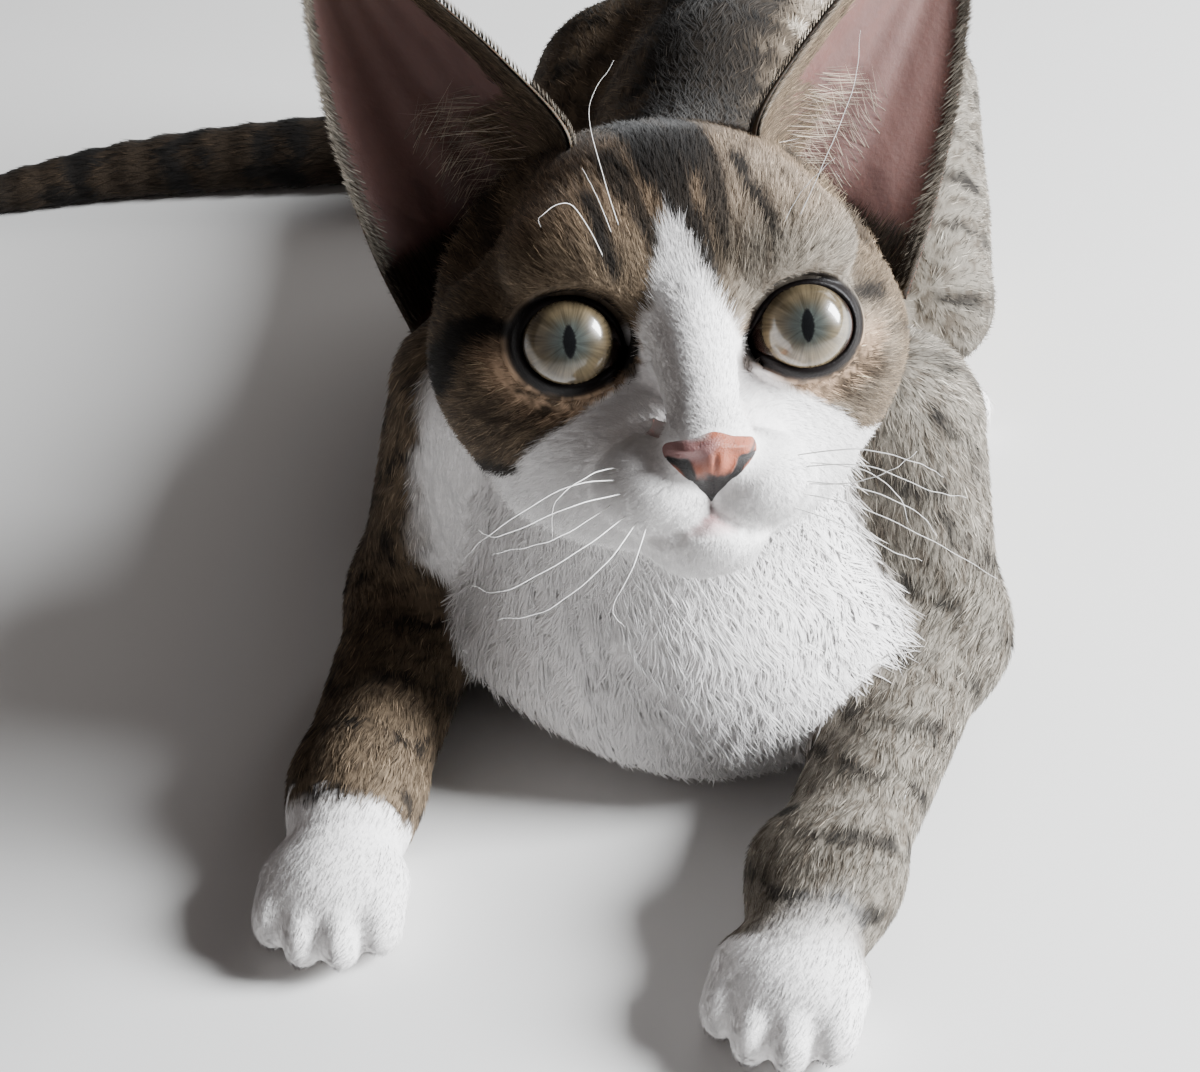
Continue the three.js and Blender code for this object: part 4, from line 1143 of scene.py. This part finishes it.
# How far outside the opening each ring of the lid lies, and how far it rises
LID_PROFILE = [
    (-0.9, -0.4), (-0.3, 0.3), (0.1, 0.55), (0.5, 0.6), (0.9, 0.45), (1.4, 0.15), (2.0, -0.25), (3.0, -1.2)]
LID_AROUND = 160
for name, side in SIDES.items():
    turn = np.linspace(0, 2 * math.pi, LID_AROUND, endpoint=False)
    c, s = np.cos(turn), np.sin(turn)
    inward = np.maximum(0, -c) ** 6
    edge_x = c * (LID_WIDE + (LID_CORNER - LID_WIDE) * inward)
    edge_z = s * LID_HIGH - LID_DROP * inward
    out_x, out_z = np.gradient(edge_z), -np.gradient(edge_x)
    size = np.hypot(out_x, out_z)
    out_x, out_z = out_x / size, out_z / size
    sign = np.sign((out_x * edge_x + out_z * edge_z).sum())
    rings, tones = [], []
    for reach, rise in LID_PROFILE:
        x, z = edge_x + out_x * sign * reach, edge_z + out_z * sign * reach
        on_ball = EYE_DEPTH - np.sqrt(np.maximum((EYE_RADIUS + 0.2) ** 2 - x**2 - z**2, 4.0)) - rise
        on_face = face_at(x * side + side * PUPIL_GAP / 2, z) - rise * 0.4
        share = smooth(0.4, 2.0, reach)
        y = np.maximum(on_ball, on_face - 3) * (1 - share) + on_face * share
        rings.append(np.stack([x * side + side * PUPIL_GAP / 2, y, z], -1))
        tones.append(mixed(LID_COLOUR, head_colour(rings[-1]), np.full(LID_AROUND, smooth(1.2, 2.0, reach))))
    rings += [rings[-1] + np.array([0, 2.0, 0]), rings[0] + np.array([0, 1.2, 0])]
    tones += [tones[-1], tones[0]]
    corners = np.stack(rings).reshape(-1, 3)
    index = np.arange(len(corners)).reshape(len(rings), LID_AROUND)
    quads = strips(np.vstack([index, index[:1]]))
    if side * sign < 0:
        quads = quads[:, ::-1]
    lid = mesh_piece("lid_" + name, from_head(corners), quads, lid_look, np.concatenate(tones))

# Nose leather
NOSE_STEP = 0.2
NOSE_BACK = 1.5
NOSE_PINK, NOSE_MAUVE, NOSE_BLACK = srgb(150, 82, 58), srgb(150, 110, 108), srgb(12, 7, 7)
nose_x, nose_z = np.meshgrid(
    np.arange(-9.6, 9.7, NOSE_STEP), np.arange(-30.2, -14.7, NOSE_STEP), indexing="ij")
nose_edge = nose_outline(nose_x, nose_z)
slit = nostril_reach(nose_x, nose_z)
relief = 1.5 * smooth(0.3, -2.2, nose_edge) - 9.0 * smooth(-0.1, 2.4, nose_edge)
relief = relief + 0.5 * smooth(3.0, 0.0, np.hypot(np.abs(nose_x) - 5.6, nose_z + 18.6))
relief = relief - 1.9 * smooth(0.5, -0.5, slit)
relief = relief - 0.45 * smooth(0.7, 0.1, np.abs(nose_x)) * smooth(-19, -21, nose_z)
relief = np.where(nose_edge < -0.1, np.maximum(relief, 0.15), relief)
front = np.stack([nose_x, face_at(nose_x, nose_z) - relief, nose_z], -1)
rear = front + np.array([0, NOSE_BACK, 0])
shaded_side = smooth(1.5, -2.5, nose_x + 1.0 * noise(front, 5, 82)) * smooth(-22.5, -20, nose_z)
nose_colours = mixed(NOSE_PINK, NOSE_MAUVE, shaded_side)
nose_colours = mixed(nose_colours, WHITE, smooth(-17.6, -16.2, nose_z) * smooth(0, -3, nose_x) * 0.7)
freckles = smooth(0.62, 0.8, noise(front, 0.9, 83)) * smooth(-19.5, -17.5, nose_z) * smooth(0, 2, nose_x)
black = smooth(-22.4, -24.4, nose_z - 0.1 * nose_x + 0.5 * noise(front, 3, 81))
# Painted shade: the nostril slits and their groove up each wing are painted black; the freckles and the black
# of the lower nose are the leather's own colour
wing_line = stroke(nose_x, nose_z, [(6.6, -20.2), (8.6, -18.0)], (0.5, 0.1), 0.4)
black = np.maximum.reduce([black, smooth(0.7, 0.1, slit), 0.6 * freckles, wing_line])
nose_colours = mixed(nose_colours, NOSE_BLACK, black)
rows, columns = nose_x.shape
index = np.arange(rows * columns).reshape(rows, columns)
front_quads = np.stack([index[:-1, :-1], index[1:, :-1], index[1:, 1:], index[:-1, 1:]], -1).reshape(-1, 4)
rim = np.concatenate([index[:-1, 0], index[-1, :-1], index[:0:-1, -1], index[0, :0:-1]])
following = np.roll(rim, -1)
size = rows * columns
rim_quads = np.stack([following, rim, rim + size, following + size], -1)
nose_look = painted("nose_leather", 0.08, 1500, 0.6, 2600, roughness=0.42, specular=0.45, subsurface=0.15)
nose = mesh_piece(
    "nose_leather", from_head(np.concatenate([front, rear]).reshape(-1, 3)),
    np.concatenate([front_quads, front_quads[:, ::-1] + size, rim_quads]), nose_look,
    np.concatenate([nose_colours, nose_colours]).reshape(-1, 3))
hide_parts("nose")


# Whiskers and brow hairs: tapered crinkled rods
WHISKER_RINGS, WHISKER_SIDES = 26, 5


def whisker(points, thick):
    line = curve_through(points, WHISKER_RINGS)
    step = np.linspace(0, 1, WHISKER_RINGS)
    crinkle = 0.16 * np.sin(step * 34 + points[0][2]) * step
    line = line + np.column_stack([0 * step, crinkle, crinkle * 0.8])
    along = unit(np.gradient(line, axis=0))
    first = unit(np.cross(along, (0.3, 0.9, 0.2)))
    second = np.cross(along, first)
    radius = thick * (1 - 0.82 * step)[:, None]
    rings = [line + (first * math.cos(a) + second * math.sin(a)) * radius
             for a in np.linspace(0, 2 * math.pi, WHISKER_SIDES, endpoint=False)]
    index = np.arange(WHISKER_RINGS * WHISKER_SIDES).reshape(WHISKER_RINGS, WHISKER_SIDES)
    quads = strips(index)
    foot = [(index[0, 0], index[0, n + 1], index[0, n]) for n in range(1, WHISKER_SIDES - 1)]
    tip = [(index[-1, 0], index[-1, n], index[-1, n + 1]) for n in range(1, WHISKER_SIDES - 1)]
    triangles = np.concatenate([quads[:, [0, 1, 2]], quads[:, [0, 2, 3]], np.array(foot + tip)])
    return np.stack(rings, 1).reshape(-1, 3), triangles


# Each whisker: root on the pad, a middle point and the tip, as x, y and z in the head's frame
WHISKERS = [
    [(-14, -12, -24), (-26, -18, -24), (-40, -20, -31), (-45, -16, -36)],
    [(-13, -13, -26), (-25, -20, -27), (-38, -22, -31), (-42, -20, -30)],
    [(-15, -11, -27), (-28, -16, -33), (-40, -16, -35)],
    [(-13, -12, -29), (-24, -18, -35), (-38, -20, -41), (-44, -16, -40)],
    [(-12, -12, -30), (-20, -18, -38), (-31, -20, -45), (-40, -20, -46)],
    [(-11, -12, -31), (-15, -17, -39), (-19, -17, -46), (-17, -15, -50)],
    [(-15, -10, -22), (-21, -17, -22), (-28, -20, -26), (-29, -18, -33)],
    [(14, -12, -22), (26, -18, -21), (36, -20, -24), (41, -18, -27)],
    [(14, -12, -24), (27, -18, -24), (38, -20, -29), (45, -18, -31)],
    [(13, -12, -26), (26, -17, -28), (36, -18, -33), (40, -16, -38)],
    [(13, -12, -28), (25, -17, -31), (38, -20, -38), (50, -18, -46)],
    [(12, -12, -30), (22, -17, -34), (32, -18, -40), (37, -16, -42)],
    [(15, -10, -23), (27, -15, -25), (33, -17, -30), (35, -15, -35)],
    [(15, -11, -27), (24, -17, -27), (31, -20, -25), (36, -20, -22)],
    [(-14, 0, 12), (-18, -8, 20), (-22, -12, 25), (-27, -14, 23), (-27, -13, 21)],
    [(-12, 1, 15), (-16, -7, 25), (-19, -11, 31)],
    [(-11, 1, 17), (-15, -8, 29), (-17, -10, 41), (-12, -8, 49)],
    [(18, 2, 14), (24, -6, 28), (30, -9, 42), (32, -8, 52)],
    [(16, 1, 15), (20, -6, 24), (26, -9, 30)],
]
WHISKER_THICK, BROW_HAIR_THICK = 0.14, 0.10
parts = [whisker(points, WHISKER_THICK if points[0][2] < 0 else BROW_HAIR_THICK) for points in WHISKERS]
offsets = np.cumsum([0] + [len(corners) for corners, _ in parts[:-1]])
whisker_look = two_toned("whisker", 300, (0.72, 0.70, 0.68), (0.93, 0.92, 0.90), roughness=0.35, specular=0.5)
whiskers = mesh_piece(
    "whiskers", from_head(np.concatenate([corners for corners, _ in parts])),
    np.concatenate([triangles + offset for (_, triangles), offset in zip(parts, offsets)]), whisker_look)

# Floor, lights and camera
FLOOR_REACH = 6.0
floor_mesh = bpy.data.meshes.new("floor")
floor_corners = [(x * FLOOR_REACH, y * FLOOR_REACH, 0) for x, y in ((-1, -1), (1, -1), (1, 1), (-1, 1))]
floor_mesh.from_pydata(floor_corners, [], [(0, 1, 2, 3)])
floor_mesh.materials.append(
    two_toned("floor", 8, (0.70, 0.69, 0.68), (0.74, 0.73, 0.72), roughness=0.6, specular=0.3))
floor = bpy.data.objects.new("floor", floor_mesh)
bpy.context.scene.collection.objects.link(floor)
floor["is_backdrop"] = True

def lamp(name, place, aim, size, power, colour):
    data = bpy.data.lights.new(name, "AREA")
    data.shape = "RECTANGLE"
    data.size, data.size_y = size
    data.energy = power
    data.color = colour
    light = bpy.data.objects.new(name, data)
    light.location = Vector(place)
    light.rotation_euler = (Vector(aim) - Vector(place)).to_track_quat("-Z", "Y").to_euler()
    bpy.context.scene.collection.objects.link(light)


# Each lamp has its place, size in metres, watts and colour, and aims at the eyes
AIM = EYES * MM
lamp("window", (1.3, -0.10, 0.74), AIM, (0.5, 0.7), 130, (0.95, 0.98, 1.0))
lamp("fill", (-0.8, -1.2, 0.8), AIM, (1.4, 1.4), 1.6, (1.0, 0.92, 0.9))
lamp("back", (0.8, 1.3, 0.9), AIM, (1.2, 0.8), 12, (1.0, 0.98, 0.96))
ROOM_COLOUR, ROOM_STRENGTH = (1.0, 0.90, 0.87, 1), 0.075
world = bpy.data.worlds.new("studio")
world.use_nodes = True
world.node_tree.nodes["Background"].inputs["Color"].default_value = ROOM_COLOUR
world.node_tree.nodes["Background"].inputs["Strength"].default_value = ROOM_STRENGTH
bpy.context.scene.world = world

camera_data = bpy.data.cameras.new("camera")
camera_data.lens = FOCAL_PIXELS / FRAME_WIDTH * SENSOR
camera_data.sensor_width = SENSOR
camera_data.sensor_fit = "HORIZONTAL"
camera_data.clip_start = 0.01
camera = bpy.data.objects.new("camera", camera_data)
right, up = Vector(CAMERA_RIGHT).normalized(), Vector(CAMERA_UP).normalized()
turn = Matrix((right, up, right.cross(up))).transposed()
camera.matrix_world = Matrix.Translation(Vector((EYES + CAMERA_FROM_EYES) * MM)) @ turn.to_4x4()
bpy.context.scene.collection.objects.link(camera)
bpy.context.scene.camera = camera

plain = lambda box: [[float(c) for c in corner] for corner in box]
{"cad": plain(CAD_BOUNDS), "visual": plain(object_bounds())}
